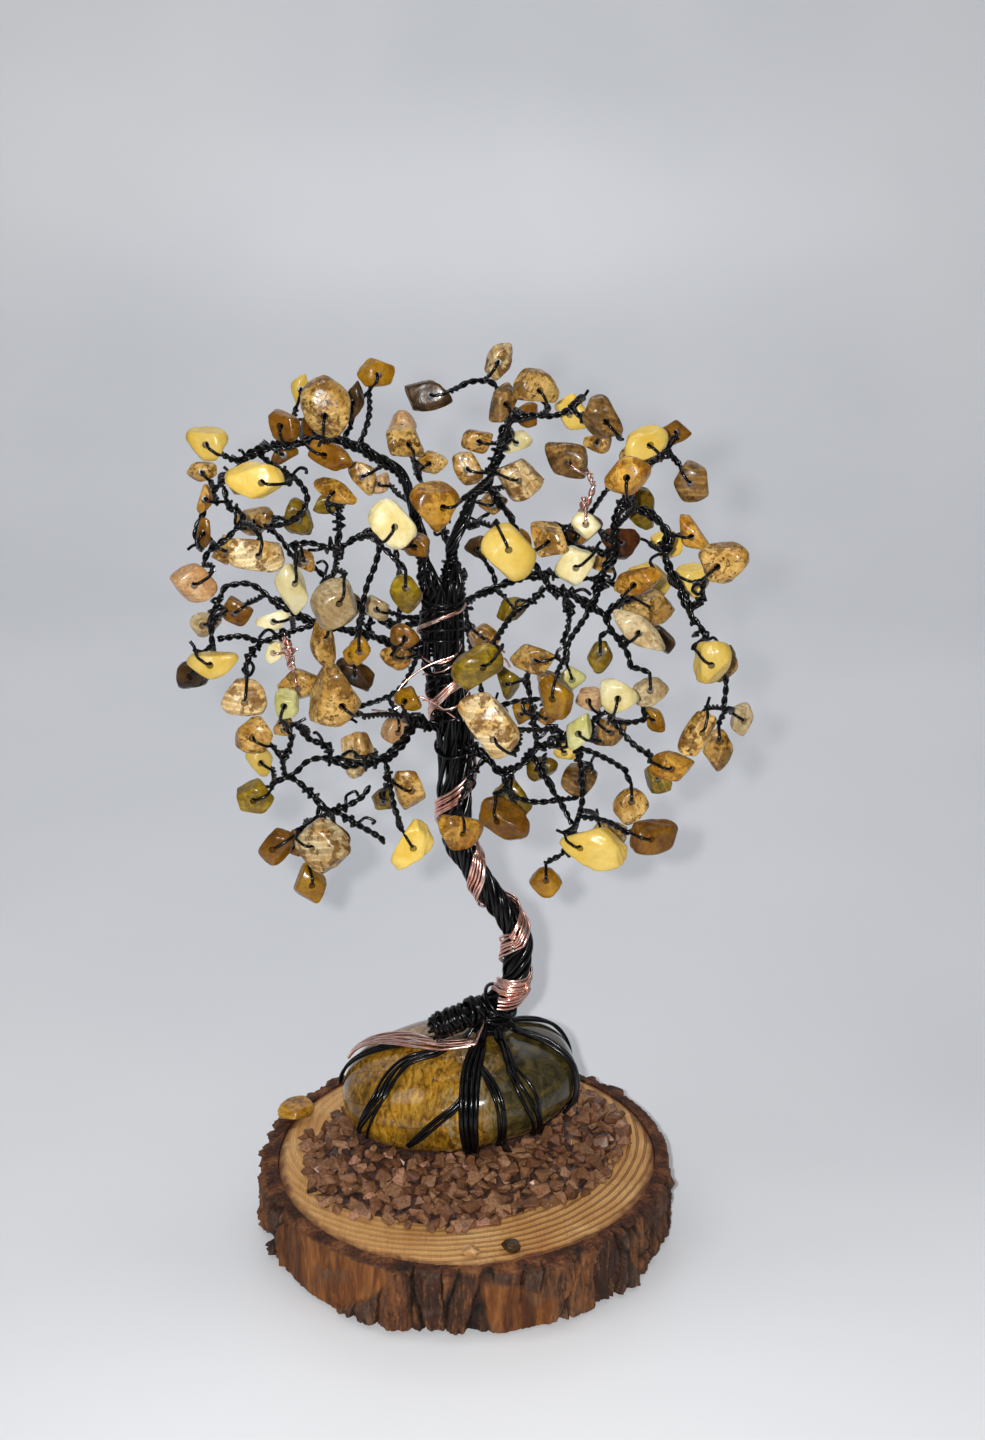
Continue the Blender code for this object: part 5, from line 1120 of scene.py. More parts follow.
def build_knot():
    """Wires wound over and over the stub and the trunk's foot, with cut ends that poke out."""
    rng = random.Random(4)
    route = smooth_route([Vector(place) + Vector((0.4, -0.9, -2.3)) for place in KNOT], 0.2)
    strands = [(route, KNOT_RADIUS - 0.5, BLACK)]
    for i in range(20):
        spot = route[int((len(route) - 1) * min(1.0, i / 19))]
        ahead = (route[-1] - route[0]).normalized()
        lean = Vector((rng.uniform(-0.5, 0.5), rng.uniform(-0.5, 0.5), rng.uniform(-0.5, 0.5)))
        radius = KNOT_RADIUS * rng.uniform(0.9, 1.28)
        strands.append((ring_about(spot, (ahead + lean).normalized(), radius, rng.uniform(0.85, 1.1),
                                   rng.uniform(0, 6)), 0.46, BLACK))
    for i in range(9):
        centre, along, radius = trunk_at(41.4 + i * 0.7)
        lean = Vector((rng.uniform(-0.4, 0.4), rng.uniform(-0.4, 0.4), rng.uniform(-0.3, 0.3)))
        strands.append((ring_about(centre, (along + lean).normalized(), radius + rng.uniform(0.3, 1.2), 1.0,
                                   rng.uniform(0, 6)), 0.42, BLACK))
    end, back = route[-1], (route[-1] - route[-8]).normalized()
    for _ in range(9):
        away = (back + Vector((0, rng.uniform(-0.9, 0.9), rng.uniform(-0.6, 0.9)))).normalized()
        side = Vector((rng.uniform(0, 1.5), rng.uniform(-1.8, 1.8), rng.uniform(-1.6, 1.6)))
        root = end + side
        strands.append((smooth_route([root - back, root + away * 1.2, root + away * 2.2], 0.5), 0.4, BLACK))
    wire_piece("trunk_knot_wires", strands, ["trunk_knot"])


RIBBON_SHARE = (1.0, 1.0, 0.86, 0.80, 0.66, 0.62)       # share of the climb that each wire makes
RIBBON_TURNS = (0, 2, 3, 5)
RIBBON_WIDTHS = (5.0, 3.8, 3.4, 2.2)        # at those turns
BAND_WIRES = 9                  # the band that crosses the trunk's foot in front
BAND_FOOT = 48.6
BAND_SPACING = 0.42
BAND_RISE = 2.0
BAND_START = 200                # degrees round the trunk from +X
BAND_SWEEP = 165
WIRE_END = ((2.2, -1.0, 0.4), (5.2, 0.2, 0.9))      # from the ribbon's start


def build_ribbon():
    """Fine copper wires that climb the trunk side by side, over a band at its foot."""
    first, last = RIBBON[0][1], RIBBON[-1][1]
    steps = int((last - first) * 60)
    turns = [first + (last - first) * k / steps for k in range(steps + 1)]
    places = [ribbon_point(t) for t in turns]
    strands = []
    count = len(RIBBON_SHARE)
    for i, climb in enumerate(RIBBON_SHARE):
        points = []
        for k, (middle, out) in enumerate(places):
            ahead = places[min(k + 1, steps)][0] - places[max(k - 1, 0)][0]
            side = out.cross(ahead).normalized()
            width = np.interp(turns[k], RIBBON_TURNS, RIBBON_WIDTHS)
            across = (i - (count - 1) / 2) * width / count
            across += 0.45 * noise.noise(Vector((i * 5.1, turns[k] * 2.6, 0)))
            lift = 0.3 * noise.noise(Vector((i * 9.7, turns[k] * 3.3, 4))) - 0.25
            points.append(middle + side * across + out * lift)
        strands.append((points[:int(steps * climb)], COPPER_STRAND, COPPER))
    for i in range(BAND_WIRES):
        points = []
        for k in range(21):
            share = k / 20
            angle = math.radians(BAND_START + BAND_SWEEP * share + 6 * math.sin(i * 2.1))
            centre, out, radius = around_trunk(BAND_FOOT + BAND_SPACING * i + BAND_RISE * share, angle)
            points.append(centre + out * (radius + 0.55 + 0.25 * math.sin(i * 1.7 + share * 4)))
        strands.append((points, COPPER_STRAND, COPPER))
    start = places[0][0]
    strands.append((smooth_route([start, *(start + Vector(step) for step in WIRE_END)], 0.5),
                    COPPER_STRAND, COPPER))
    wire_piece("copper_wrap_wires", strands, ["copper_wrap"])


# Each root: how many wires lie side by side in each of its paths, and the wires' radius
ROOT_WIRES = {"root_front": ((4, 0.6), (3, 0.4), (3, 0.36)), "root_front_right": ((4, 0.42),),
              "root_right_low": ((4, 0.4),), "root_right_high": ((4, 0.38),), "root_left_low": ((5, 0.36),),
              "root_left_high": ((4, 0.36),), "copper_root": ((7, 0.34),)}


# The copper root's wires pass in front of the knot before they follow their path
COPPER_PATH = ((2.0, 2.5, 39), (-5.5, 3.4, 38), (-13, 8.5, 36.5), (-19, 13, 33.5), (-22, 16, 29))


ROOT_TOP = 44.5                 # height on the trunk that the roots leave from
ROOT_STRAY = {"root_front": 0.4}    # how far a root's wires wander sideways, where it isn't 1.3


def root_strand(middle, i, count, size, p, name, lift):
    """One wire of a root, beside the others, laid over the boulder."""
    points = []
    for k, place in enumerate(middle):
        share = k / (len(middle) - 1)
        ahead = middle[min(k + 1, len(middle) - 1)] - middle[max(k - 1, 0)]
        out = (place - BOULDER_CENTRE).normalized()
        side = out.cross(ahead).normalized()
        spread = 0.75 + 0.75 * math.sin(math.pi * share) + 0.45 * share
        across = (i - (count - 1) / 2) * size * spread
        stray = noise.noise(Vector((i * 3.7 + p, share * 2.4, len(name))))
        across += ROOT_STRAY.get(name, 1.3) * stray
        rise = abs(noise.noise(Vector((i * 8.1, share * 3.0, p + 5))))
        points.append(on_boulder(place + side * across, size + lift + 0.5 * rise))
    return points


def build_roots():
    """Bundles of wires that spread from the trunk's foot over the boulder."""
    foot = trunk_at(ROOT_TOP)[0]
    for name, (_, paths) in ROOTS.items():
        look, lift = (COPPER, 0.7) if name == "copper_root" else (BLACK, 0.15)
        strands = []
        for p, (path, (count, size)) in enumerate(zip(paths, ROOT_WIRES[name])):
            middle = smooth_route(COPPER_PATH if look == COPPER else path, 0.6)
            for i in range(count):
                points = root_strand(middle, i, count, size, p, name, lift)
                if p == 0:
                    start = foot + (points[0] - foot).normalized() * 2.4 + Vector((0, 0, 0.25 * i - 0.4))
                    arch = start.lerp(points[0], 0.5) + Vector((0, 0, 0.5))
                    points = smooth_route([start, arch, points[0]], 0.6)[:-1] + points
                strands.append((points, size, look))
        wire_piece(f"{name}_wires", strands, [name])


# Base -------------------------------------------------------------------------------------------

PITH = (-6.0, 8.0)              # centre of the growth rings


def pine_look():
    look = Look("sawn_pine", Specular_IOR_Level=0.3)
    place = look.coords(offset=(-PITH[0], -PITH[1], 0))
    ring = look.waves(place, 0.175, 1.6, 2.0, kind="RINGS")
    line = look.ramp(ring, (0.0, 0.0), (0.66, 0.08), (0.88, 1.0), (0.96, 0.9), (1.0, 0.2))
    east = look.add("ShaderNodeSeparateXYZ", {0: place})
    lit = look.math("SUBTRACT", east.outputs[0], look.math("MULTIPLY", east.outputs[1], 0.5))
    strong = look.add("ShaderNodeMapRange", {"Value": lit, "From Min": 6.0, "From Max": 40.0,
                                             "To Min": 0.30, "To Max": 1.0}).outputs[0]
    colour = look.ramp(look.noise(place, 0.07, 4), (0.3, shade(170, 116, 62)), (0.5, shade(198, 150, 92)),
                       (0.7, shade(214, 172, 116)))
    colour = look.mix(look.math("MULTIPLY", line, strong), colour, shade(82, 44, 16))
    fine = look.waves(place, 0.5, 2.5, 2.0, kind="RINGS")
    colour = look.mix(look.math("MULTIPLY", look.ramp(fine, (0.55, 0.0), (0.9, 1.0)), 0.22), colour,
                      shade(150, 98, 52))
    fibre = look.noise(look.coords(stretch=(1.8, 0.14, 1)), 1.3, 4, 0.75)
    colour = look.mix(look.ramp(fibre, (0.50, 0.0), (0.72, 0.38)), colour, shade(128, 80, 42))
    spots = look.ramp(look.noise(place, 1.1, 3, 0.7), (0.64, 0.0), (0.72, 0.6))
    colour = look.mix(spots, colour, shade(104, 60, 30))
    colour = look.mix(look.attribute("rim", "Fac"), colour, shade(78, 40, 20))
    height = look.mix(0.4, look.ramp(fibre, (0.2, 0.0), (0.8, 1.0)), look.ramp(ring, (0, 0.0), (1, 1.0)))
    return look.finish(colour, look.span(fibre, 0.5, 0.85), height, 0.6, 0.35)


def build_wood():
    """The sawn slice: a plate whose top is very slightly uneven and whose rim is rounded over."""
    rings, around = 34, 240
    verts, rims = [], []
    for r in range(rings + 1):
        share = (r / rings) ** 0.75
        for a in range(around):
            angle = 2 * math.pi * a / around
            reach = wood_radius(angle) * share
            place = Vector((reach * math.cos(angle), reach * math.sin(angle), 0))
            dip = 0.22 * noise.noise(place * 0.12) + 0.07 * noise.noise(place * 0.9)
            drop = 0.5 * max(0.0, (share - 0.975) / 0.025) ** 2
            verts.append((place.x, place.y, SLICE_THICKNESS + dip - 0.1 - drop))
            edge = share * (1 + 0.012 * noise.noise(place * 0.5))
            ragged = 0.012 * noise.noise(place * 1.3) + 0.010 * noise.noise(place * 0.25)
            rims.append(min(1.0, max(0.0, (edge + ragged - 0.962) / 0.03)) * 0.9)
    faces = [(r * around + a, r * around + (a + 1) % around, (r + 1) * around + (a + 1) % around,
              (r + 1) * around + a) for r in range(rings) for a in range(around)]
    last = rings * around
    low = len(verts)
    for a in range(around):
        verts.append((verts[last + a][0], verts[last + a][1], 0.0))
        rims.append(1.0)
    faces += [(last + a, last + (a + 1) % around, low + (a + 1) % around, low + a) for a in range(around)]
    faces.append([low + a for a in range(around)])
    mesh = mesh_of("wood_slice_top", verts, faces, {"rim": rims})
    mesh.set_sharp_from_angle(angle=math.radians(50))
    mesh.materials.append(pine_look())
    add_piece("sawn_slice", mesh, "tree", ["wood_slice"])


def mesh_of(name, verts, faces, values):
    """A smooth mesh in metres with its faces turned out and a number per corner for each value."""
    mesh = bpy.data.meshes.new(name)
    mesh.from_pydata([tuple(c * MM for c in v) for v in verts], [], faces)
    for key, numbers in values.items():
        mesh.attributes.new(key, "FLOAT", "POINT").data.foreach_set("value", numbers)
    bm = bmesh.new()
    bm.from_mesh(mesh)
    bmesh.ops.remove_doubles(bm, verts=bm.verts, dist=1e-6)
    bmesh.ops.recalc_face_normals(bm, faces=bm.faces)
    bm.to_mesh(mesh)
    bm.free()
    mesh.shade_smooth()
    return mesh


def bark_at(angle, z):
    """How far the bark stands out at a place on its side, its crack, its plate's number and its bareness.

    A crack is 0 at its bottom and 1 on a plate; bare is 1 where the flakes have come off."""
    ring = Vector((math.cos(angle), math.sin(angle), 0)) * WOOD_RADIUS
    drift = 2.2 * noise.noise(Vector((ring.x * 0.12, ring.y * 0.12, z * 0.16)))
    place = Vector((ring.x / 5.2, ring.y / 5.2, z / 26)) + Vector((drift * 0.10, drift * 0.10, drift * 0.05))
    distances, sites = noise.voronoi(place)
    site = sites[0]
    number = abs(math.sin(site.x * 12.9 + site.y * 78.2 + site.z * 37.7))
    tilt = math.sin(site.x * 91.7 + site.z * 13.1)
    crack = min(1.0, (distances[1] - distances[0]) / 0.13)
    bare = noise.noise(Vector((ring.x * 0.055, ring.y * 0.055, z * 0.05 + 2.0)))
    bare = min(1.0, max(0.0, (bare - 0.20) / 0.06))
    flakes = noise.fractal(Vector((ring.x * 0.35, ring.y * 0.35, z * 0.13)), 1.0, 2.0, 4)
    steps = math.floor(flakes * 4.0) / 4.0
    splinter = noise.noise(Vector((ring.x * 1.4, ring.y * 1.4, z * 0.35)))
    plate = 1.7 * (number - 0.5) + 0.9 * tilt * (z / SLICE_THICKNESS - 0.5) + 1.1 * steps + 0.35 * splinter
    plate -= 1.5 * (1 - crack) ** 1.5
    smooth = -0.5 + 0.25 * splinter - 0.4 * (1 - crack) ** 3
    return plate * (1 - bare) + smooth * bare, crack + (1 - crack) * bare * 0.7, number, bare


def bark_look():
    look = Look("flaky_bark", Specular_IOR_Level=0.3)
    place = look.coords()
    upright = look.coords(stretch=(1, 1, 0.18))
    plate = look.attribute("plate", "Fac")
    crack = look.attribute("crack", "Fac")
    top = look.attribute("top", "Fac")
    fibre = look.noise(upright, 1.0, 5, 0.7, 0.4)
    wide = look.noise(upright, 0.35, 4, 0.6, 0.8)
    colour = look.ramp(plate, (0.0, shade(52, 30, 20)), (0.3, shade(84, 50, 30)), (0.55, shade(110, 66, 36)),
                       (0.8, shade(132, 82, 44)), (1.0, shade(76, 56, 44)))
    colour = look.mix(look.ramp(wide, (0.42, 0.0), (0.6, 0.7)), colour, shade(58, 34, 22))
    colour = look.mix(look.ramp(fibre, (0.54, 0.0), (0.68, 0.6)), colour, shade(150, 98, 56))
    colour = look.mix(look.ramp(fibre, (0.36, 0.85), (0.48, 0.0)), colour, shade(26, 15, 10))
    inner = look.ramp(wide, (0.35, shade(70, 36, 12)), (0.5, shade(108, 62, 24)), (0.65, shade(140, 88, 42)))
    colour = look.mix(look.attribute("bare", "Fac"), colour, inner)
    lichen = look.ramp(look.noise(place, 0.16, 3), (0.55, 0.0), (0.7, 0.35))
    colour = look.mix(lichen, colour, shade(92, 82, 70))
    layers = look.noise(place, 1.5, 4, 0.75)
    broad = look.noise(place, 0.22, 3)
    layers = look.mix(0.55, layers, broad)
    cut = look.ramp(layers, (0.38, shade(34, 17, 10)), (0.5, shade(74, 38, 20)), (0.62, shade(124, 78, 44)))
    colour = look.mix(top, colour, cut)
    # Painted shade: the bottoms of the bark's cracks are painted near black.
    colour = look.mix(look.ramp(crack, (0.0, 0.95), (0.7, 0.0)), colour, shade(14, 8, 5))
    return look.finish(colour, look.span(fibre, 0.5, 0.9), fibre, 0.9, 0.7)


def build_bark():
    """A ring of bark: sawn on top, with cracked and flaking plates down its side."""
    around, top_steps, side_steps = 1100, 8, 40
    verts = []
    values = {"plate": [], "crack": [], "top": [], "bare": []}
    section = top_steps + side_steps + 2

    def add(angle, reach, z, *numbers):
        verts.append((reach * math.cos(angle), reach * math.sin(angle), z))
        for column, number in zip(values.values(), numbers):
            column.append(number)

    for a in range(around):
        angle = 2 * math.pi * a / around
        wood = wood_radius(angle) + GAP * 0.5
        thick = BARK_THICKNESS + 0.5 * noise.noise(Vector((math.cos(angle) * 4, math.sin(angle) * 4, 1)))
        out, crack, number, bare = bark_at(angle, SLICE_THICKNESS - 0.5)
        rim = max(1.0, thick - 0.5 + 0.7 * out)
        chipped = 0.5 * noise.noise(Vector((math.cos(angle) * 30, math.sin(angle) * 30, 7)))
        for s in range(top_steps + 1):
            share = s / top_steps
            reach = wood + (rim - 0.15) * share
            z = SLICE_THICKNESS - 0.05 - 0.5 * share * share + chipped * share
            z += 0.25 * noise.noise(Vector((reach * math.cos(angle), reach * math.sin(angle), 2)) * 1.1)
            add(angle, reach, z, number, 1.0 if share < 0.6 else crack, 1.0 if share < 0.9 else 0.5, 0.0)
        hem = BARK_LIFT + 0.5 + 0.6 * noise.noise(Vector((math.cos(angle) * 9, math.sin(angle) * 9, 0)))
        for s in range(1, side_steps + 1):
            share = s / side_steps
            z = SLICE_THICKNESS - 0.6 - (SLICE_THICKNESS - 0.6 - hem) * share
            out, crack, number, bare = bark_at(angle, z)
            add(angle, wood + max(0.8, thick + out), z, number, crack, 0.0, bare)
        add(angle, wood, BARK_LIFT, 0.0, 0.0, 0.0, 0.0)
    faces = []
    for a in range(around):
        here, there = a * section, (a + 1) % around * section
        for s in range(section):
            t = (s + 1) % section
            faces.append((here + s, here + t, there + t, there + s))
    mesh = mesh_of("bark", verts, faces, values)
    mesh.set_sharp_from_angle(angle=math.radians(55))
    mesh.materials.append(bark_look())
    add_piece("flaky_bark_ring", mesh, "tree", ["bark_ring"])


def boulder_look():
    look = Look("polished_boulder", Coat_Weight=0.35, Coat_Roughness=0.05, Specular_IOR_Level=0.3)
    place = look.coords()
    fibres = look.noise(look.coords(stretch=(1, 0.5, 0.35)), 0.75, 5, 0.65, 1.2)
    gold = look.ramp(fibres, (0.30, shade(60, 38, 8)), (0.42, shade(118, 80, 16)),
                     (0.53, shade(162, 116, 26)), (0.68, shade(190, 148, 56)))
    moss = look.ramp(look.noise(place, 0.30, 5, 0.6, 0.6), (0.32, shade(24, 21, 10)),
                     (0.48, shade(58, 50, 24)), (0.62, shade(80, 68, 30)), (0.75, shade(112, 98, 56)))
    dim = look.ramp(look.noise(place, 0.075, 4, 0.6, 0.5), (0.42, 0.0), (0.62, 0.75))
    gold = look.mix(dim, gold, shade(58, 40, 12))
    parts = look.add("ShaderNodeSeparateXYZ", {0: place})
    wander = look.math("MULTIPLY", look.math("SUBTRACT", look.noise(place, 0.09, 3), 0.5), 34.0)
    east = look.math("ADD", parts.outputs[0], wander)
    side = look.add("ShaderNodeMapRange", {"Value": east, "From Min": 0.0, "From Max": 9.0}).outputs[0]
    colour = look.mix(side, gold, moss)
    web = look.cells(look.add("ShaderNodeVectorMath", {
        0: place, 1: look.add("ShaderNodeTexNoise", {"Vector": place, "Scale": 0.2}).outputs["Color"]},
        operation="ADD").outputs[0], 0.075, "DISTANCE_TO_EDGE")
    colour = look.mix(look.ramp(web, (0.0, 0.55), (0.02, 0.0)), colour, shade(36, 26, 12))
    pits = look.ramp(look.noise(place, 1.3, 3, 0.7), (0.62, 0.0), (0.70, 0.75))
    colour = look.mix(pits, colour, shade(40, 26, 8))
    vein = look.noise(look.coords(stretch=(1, 0.6, 0.5)), 0.11, 4, 0.6, 0.8)
    vein = look.ramp(vein, (0.478, 0.0), (0.5, 0.55), (0.522, 0.0))
    centre = look.add("ShaderNodeMapRange", {"Value": look.math("ABSOLUTE", parts.outputs[0], 0.0),
                                             "From Min": 2.0, "From Max": 9.0, "To Min": 1.0, "To Max": 0.10})
    colour = look.mix(look.math("MULTIPLY", vein, centre.outputs[0]), colour, shade(150, 142, 118))
    rough = look.span(look.noise(place, 0.6, 3), 0.08, 0.26)
    return look.finish(colour, rough, fibres, 0.25, 0.15)


def build_boulder():
    bm = bmesh.new()
    bmesh.ops.create_uvsphere(bm, u_segments=128, v_segments=80, radius=1.0)
    for vert in bm.verts:
        local = Vector([c * h for c, h in zip(vert.co, BOULDER_HALF)])
        place = on_boulder(BOULDER_CENTRE + boulder_turn() @ local, 0.0)
        dent = 0.35 * noise.noise(place * 0.09) + 0.12 * noise.noise(place * 0.3)
        vert.co = on_boulder(place, dent - 0.25) * MM
    mesh = bpy.data.meshes.new("boulder")
    bm.to_mesh(mesh)
    bm.free()
    mesh.shade_smooth()
    mesh.materials.append(boulder_look())
    add_piece("polished_boulder", mesh, "tree", ["base_stone"])


def gravel_look():
    look = Look("crushed_stone", Coat_Weight=0.08, Coat_Roughness=0.2, Specular_IOR_Level=0.3)
    place = look.coords()
    tone = look.attribute("tone", "Fac")
    colour = look.ramp(tone, (0.0, shade(20, 16, 16)), (0.02, shade(40, 28, 22)), (0.035, shade(96, 60, 38)),
                       (0.5, shade(124, 84, 56)), (0.93, shade(148, 108, 76)), (0.965, shade(164, 116, 92)),
                       (1.0, shade(176, 134, 112)))
    mottle = look.noise(place, 1.6, 4, 0.7)
    colour = look.mix(look.ramp(mottle, (0.35, 0.7), (0.55, 0.0)), colour, shade(58, 34, 24))
    colour = look.mix(look.ramp(mottle, (0.60, 0.0), (0.78, 0.4)), colour, shade(170, 134, 104))
    return look.finish(colour, look.span(look.noise(place, 0.7, 2), 0.25, 0.75), mottle, 0.6, 0.3)


def grain_shape(seed):
    """An angular crushed grain about 2 mm across: corners and triangles."""
    rng = random.Random(seed)
    bm = bmesh.new()
    for _ in range(9):
        way = Vector((rng.gauss(0, 1), rng.gauss(0, 1), rng.gauss(0, 1))).normalized()
        bm.verts.new(Vector((way.x * 1.15, way.y, way.z * 0.8)) * rng.uniform(0.85, 1.05))
    bmesh.ops.convex_hull(bm, input=bm.verts)
    inner = [v for v in bm.verts if not v.link_faces]
    bmesh.ops.delete(bm, geom=inner, context="VERTS")
    bmesh.ops.bevel(bm, geom=bm.edges[:], offset=0.06, segments=1, affect="EDGES")
    bmesh.ops.recalc_face_normals(bm, faces=bm.faces)
    verts = np.array([tuple(v.co) for v in bm.verts])
    faces = [[v.index for v in f.verts] for f in bm.faces]
    bm.free()
    return verts, faces


def spread_of(angle):
    """How far the loose grains lie: less than the bed at the front right, more at the left."""
    nearer = 0.10 * max(0.0, math.cos(angle - math.radians(-38))) ** 2
    farther = 0.06 * max(0.0, math.cos(angle - math.radians(190))) ** 4
    return gravel_reach(angle) * (1 - nearer + farther)


def heap_height(x, y):
    """Top of the crushed stone over the wood."""
    dx, dy = x - GRAVEL_CENTRE[0], y - GRAVEL_CENTRE[1]
    angle = math.atan2(dy, dx)
    out = math.hypot(dx, dy) / spread_of(angle)
    if out >= 1:
        return 0.0
    right = 4.6 * max(0.0, math.cos(angle - math.radians(22))) ** 2
    left = 3.0 * max(0.0, math.cos(angle - math.radians(178))) ** 4
    bank = (right + left) * min(1.0, (1 - out) * 3.6)
    return GRAVEL_HEIGHT * (1 - out ** 6) + GRAVEL_HEAP * (1 - out) + bank


def build_gravel():
    """A heap of crushed grains in two layers round the boulder."""
    rng = random.Random(21)
    shapes = [grain_shape(seed) for seed in range(14)]
    verts, faces, tones = [], [], []
    spots = []
    for _ in range(14000):
        angle, out = rng.uniform(0, 2 * math.pi), math.sqrt(rng.uniform(0.1, 1.0))
        reach = spread_of(angle) * out * 1.02
        x, y = GRAVEL_CENTRE[0] + reach * math.cos(angle), GRAVEL_CENTRE[1] + reach * math.sin(angle)
        layer = len(spots) % 2
        if any((x - a) ** 2 + (y - b) ** 2 < 2.5 ** 2 and layer == c for a, b, c in spots):
            continue
        height = heap_height(x, y)
        size = rng.uniform(1.25, 2.35)
        lift = 0.45 * size + max(0.0, height - 0.4) * (1.0 if layer else 0.45)
        place = Vector((x, y, SLICE_THICKNESS + lift + rng.uniform(-0.2, 0.5) * min(1.0, height)))
        local = boulder_turn().inverted() @ (place - BOULDER_CENTRE)
        if sum(abs(c / (h + size * 0.75)) ** BOULDER_FULLNESS for c, h in zip(local, BOULDER_HALF)) < 1:
            continue
        spots.append((x, y, layer))
        shape, shape_faces = shapes[rng.randrange(len(shapes))]
        turn = Matrix.Rotation(rng.uniform(0, 6.28), 3, "Z") @ Matrix.Rotation(rng.uniform(-0.6, 0.6), 3, "X")
        first = len(verts)
        verts += (shape * size @ np.array(turn).T + np.array(place)).tolist()
        faces += [[first + i for i in face] for face in shape_faces]
        tones += [rng.random()] * len(shape)
    mesh = bpy.data.meshes.new("gravel")
    mesh.from_pydata([tuple(c * MM for c in v) for v in verts], [], faces)
    mesh.attributes.new("tone", "FLOAT", "POINT").data.foreach_set("value", tones)
    mesh.materials.append(gravel_look())
    add_piece("crushed_stone", mesh, "tree", ["gravel_bed"])


def gap_shade_look():
    look = Look("glue_and_dust", Coat_Weight=0.4)
    place = look.coords()
    mottle = look.noise(place, 0.9, 4, 0.7)
    # Painted shade: the dark browns that show in the gaps between the grains.
    colour = look.ramp(mottle, (0.35, shade(20, 15, 15)), (0.5, shade(66, 46, 40)), (0.7, shade(104, 76, 66)))
    return look.finish(colour, look.span(mottle, 0.2, 0.6), mottle, 0.6, 0.4)


def build_bed():
    """A dark sheet under all the grains; its colours are painted shade in the gaps between them."""
    rings, around = 24, 120
    verts = []
    for r in range(rings + 1):
        for a in range(around):
            angle, share = 2 * math.pi * a / around, r / rings
            reach = spread_of(angle) * share * 0.97
            x, y = GRAVEL_CENTRE[0] + reach * math.cos(angle), GRAVEL_CENTRE[1] + reach * math.sin(angle)
            height = heap_height(x, y)
            lump = 0.25 * noise.noise(Vector((x, y, 0)) * 0.7)
            verts.append((x, y, SLICE_THICKNESS + 0.1 + max(0.0, 0.5 * height - 0.3 + lump * min(1, height))))
    faces = [(r * around + a, r * around + (a + 1) % around, (r + 1) * around + (a + 1) % around,
              (r + 1) * around + a) for r in range(rings) for a in range(around)]
    mesh = mesh_of("bed", verts, faces, {})
    mesh.materials.append(gap_shade_look())
    add_piece("gravel_glue_bed", mesh, "tree", ["gravel_bed"])


def build_lump(name, node, centre, half, seed, turn, stone, slot):
    """A loose tumbled stone that lies on the wood."""
    rays, faces = BALL
    reach = chip_reach(seed, worn_flats(seed), rays)
    local = rays * reach[:, None] * np.array(half)
    places = local @ np.array(Matrix.Rotation(turn, 3, "Z")).T + np.array(centre)
    places[:, 2] = np.maximum(places[:, 2], SLICE_THICKNESS + GAP)
    mesh = bpy.data.meshes.new(name)
    mesh.from_pydata((places * MM).tolist(), [], faces)
    grain = (places + seed * 9).ravel()
    mesh.attributes.new("grain", "FLOAT_VECTOR", "POINT").data.foreach_set("vector", grain)
    mesh.attributes.new("tone", "FLOAT", "POINT").data.foreach_set("value", [0.6] * len(places))
    mesh.shade_smooth()
    mesh.materials.append(stones[stone])
    add_piece(name, mesh, "tree", [node])


# Loose stones on the wood: piece, node, centre, half sizes, seed, turn, stone and slot
LUMPS = (
    ("resting_pebble", "resting_stone", (-38.3, 14.5, 17.2), (4.6, 3.6, 2.4), 7, 0.9, "golden", "golden"),
    ("pale_grain", "pale_crumb", (1.5, -39.3, 16.1), (2.2, 1.8, 1.1), 8, 0.0, "blush", "blush"),
    ("black_grain", "black_crumb", (9.6, -38.2, 16.3), (2.2, 1.8, 1.3), 9, 0.0, "dark", "black_stone"),
)


# Scene ------------------------------------------------------------------------------------------

def backdrop_look():
    look = Look("pale_sheet", Specular_IOR_Level=0.4)
    place = look.coords(scale=1.0)
    colour = look.ramp(look.noise(place, 3.0, 3), (0.35, shade(206, 208, 213)), (0.65, shade(218, 219, 222)))
    return look.finish(colour, look.span(look.noise(place, 8.0, 2), 0.30, 0.42))


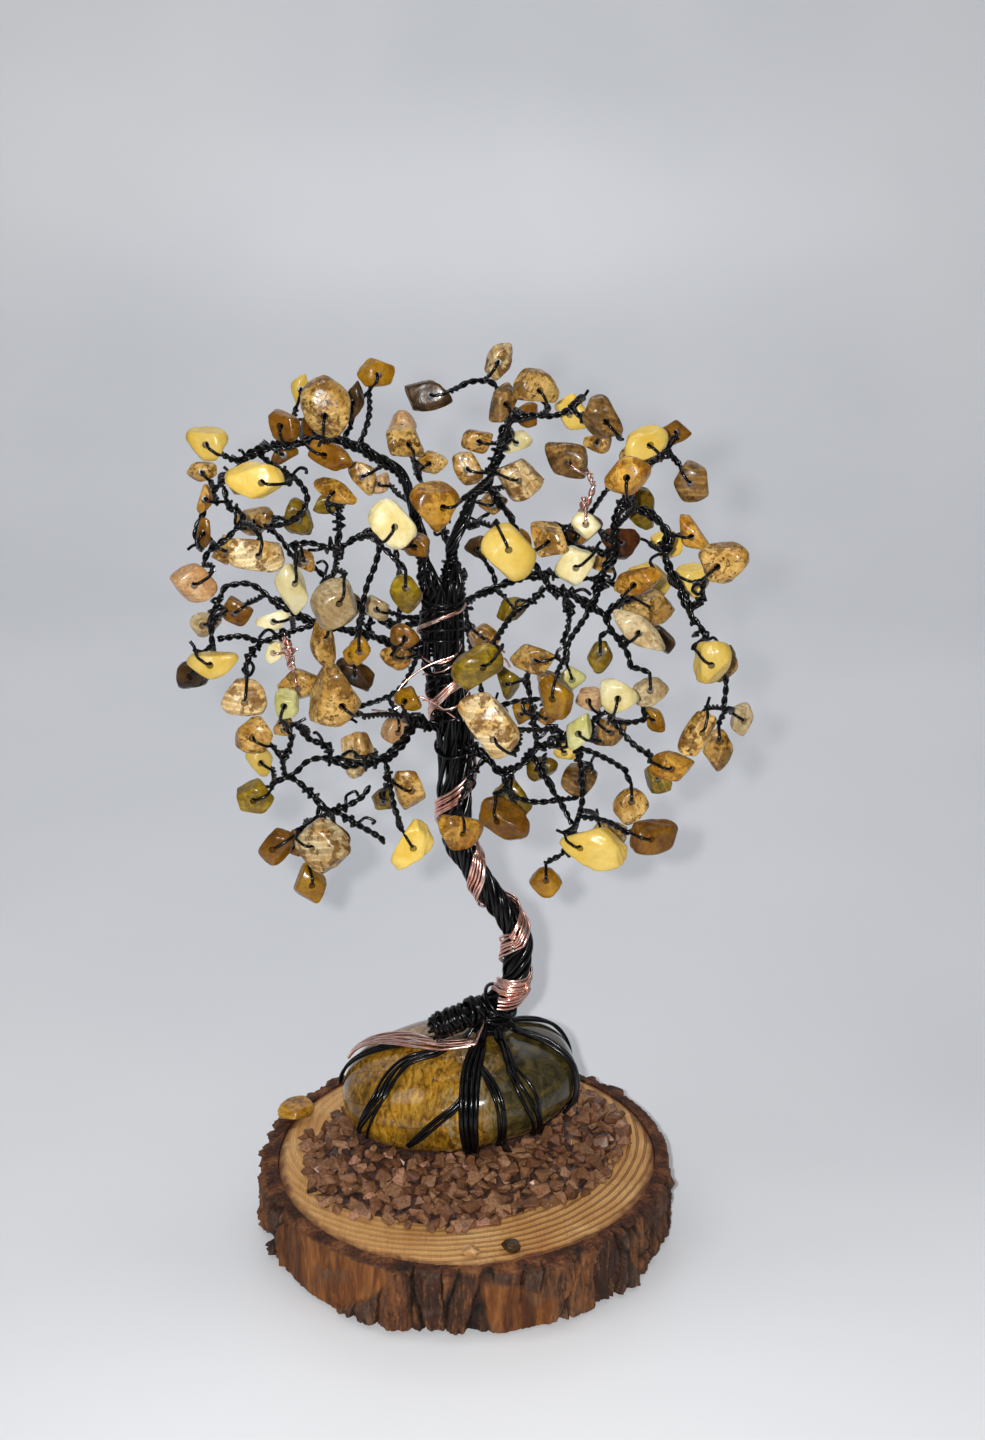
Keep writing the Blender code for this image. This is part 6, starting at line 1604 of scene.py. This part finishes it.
def build_backdrop():
    """A pale sheet that lies under the tree and sweeps up behind it."""
    half_width, front, wall, top, bend = 2.4, -1.4, 0.80, 1.8, 0.30
    profile = [(front, 0.0), (wall - bend, 0.0)]
    for i in range(1, 13):
        angle = math.pi / 2 * i / 12
        profile.append((wall - bend + bend * math.sin(angle), bend - bend * math.cos(angle)))
    profile.append((wall, top))
    verts = [(x, y, z) for y, z in profile for x in (-half_width, half_width)]
    faces = [(2 * i, 2 * i + 1, 2 * i + 3, 2 * i + 2) for i in range(len(profile) - 1)]
    mesh = bpy.data.meshes.new("sheet")
    mesh.from_pydata(verts, [], faces)
    mesh.shade_smooth()
    mesh.materials.append(backdrop_look())
    sheet = bpy.data.objects.new("backdrop_sheet", mesh)
    bpy.context.scene.collection.objects.link(sheet)


CAMERA_PLACE = Vector((0.0059, -0.386, 0.247))
CAMERA_PITCH = math.radians(71.1)
SENSOR = 36.0
LENS = 50.3


def build_camera():
    data = bpy.data.cameras.new("camera")
    data.sensor_width = SENSOR
    data.lens = LENS
    data.clip_start = 0.01
    camera = bpy.data.objects.new("camera", data)
    camera.location = CAMERA_PLACE
    camera.rotation_euler = (CAMERA_PITCH, 0, 0)
    bpy.context.scene.collection.objects.link(camera)
    bpy.context.scene.camera = camera


def area_light(name, place, target, size, power, colour):
    data = bpy.data.lights.new(name, "AREA")
    data.shape = "DISK"
    data.size = size
    data.energy = power
    data.color = colour
    lamp = bpy.data.objects.new(name, data)
    lamp.location = place
    lamp.rotation_euler = (Vector(target) - Vector(place)).to_track_quat("-Z", "Y").to_euler()
    bpy.context.scene.collection.objects.link(lamp)


def build_lights():
    area_light("key", (-0.010, -0.386, 0.252), (0, 0, 0.10), 0.009, 1.9, (1.0, 0.985, 0.96))
    area_light("window", (-0.7, -0.3, 1.0), (0, 0, 0.08), 0.5, 1.4, (0.93, 0.96, 1.0))
    area_light("ceiling", (0.5, -0.3, 1.3), (0, 0.05, 0.05), 0.7, 0.6, (1.0, 1.0, 1.0))
    area_light("sheet", (0.0, 0.15, 1.1), (0, 0.85, 0.70), 0.7, 7.2, (1.0, 1.0, 1.0))
    world = bpy.data.worlds.new("soft")
    world.use_nodes = True
    sky = world.node_tree.nodes["Background"]
    sky.inputs["Color"].default_value = (0.86, 0.90, 0.95, 1.0)
    sky.inputs["Strength"].default_value = 0.16
    bpy.context.scene.world = world
    bpy.context.scene.view_settings.view_transform = "Standard"


enamel = enamel_look()
copper = copper_look()
stones = {name: stone_look(name, *facts) for name, facts in STONES.items()}

build_camera()
build_lights()
build_backdrop()
build_wood()
build_bark()
build_bed()
build_gravel()
build_boulder()
for lump in LUMPS:
    build_lump(*lump)
build_trunk()
build_knot()
build_ribbon()
build_roots()
build_canopy()
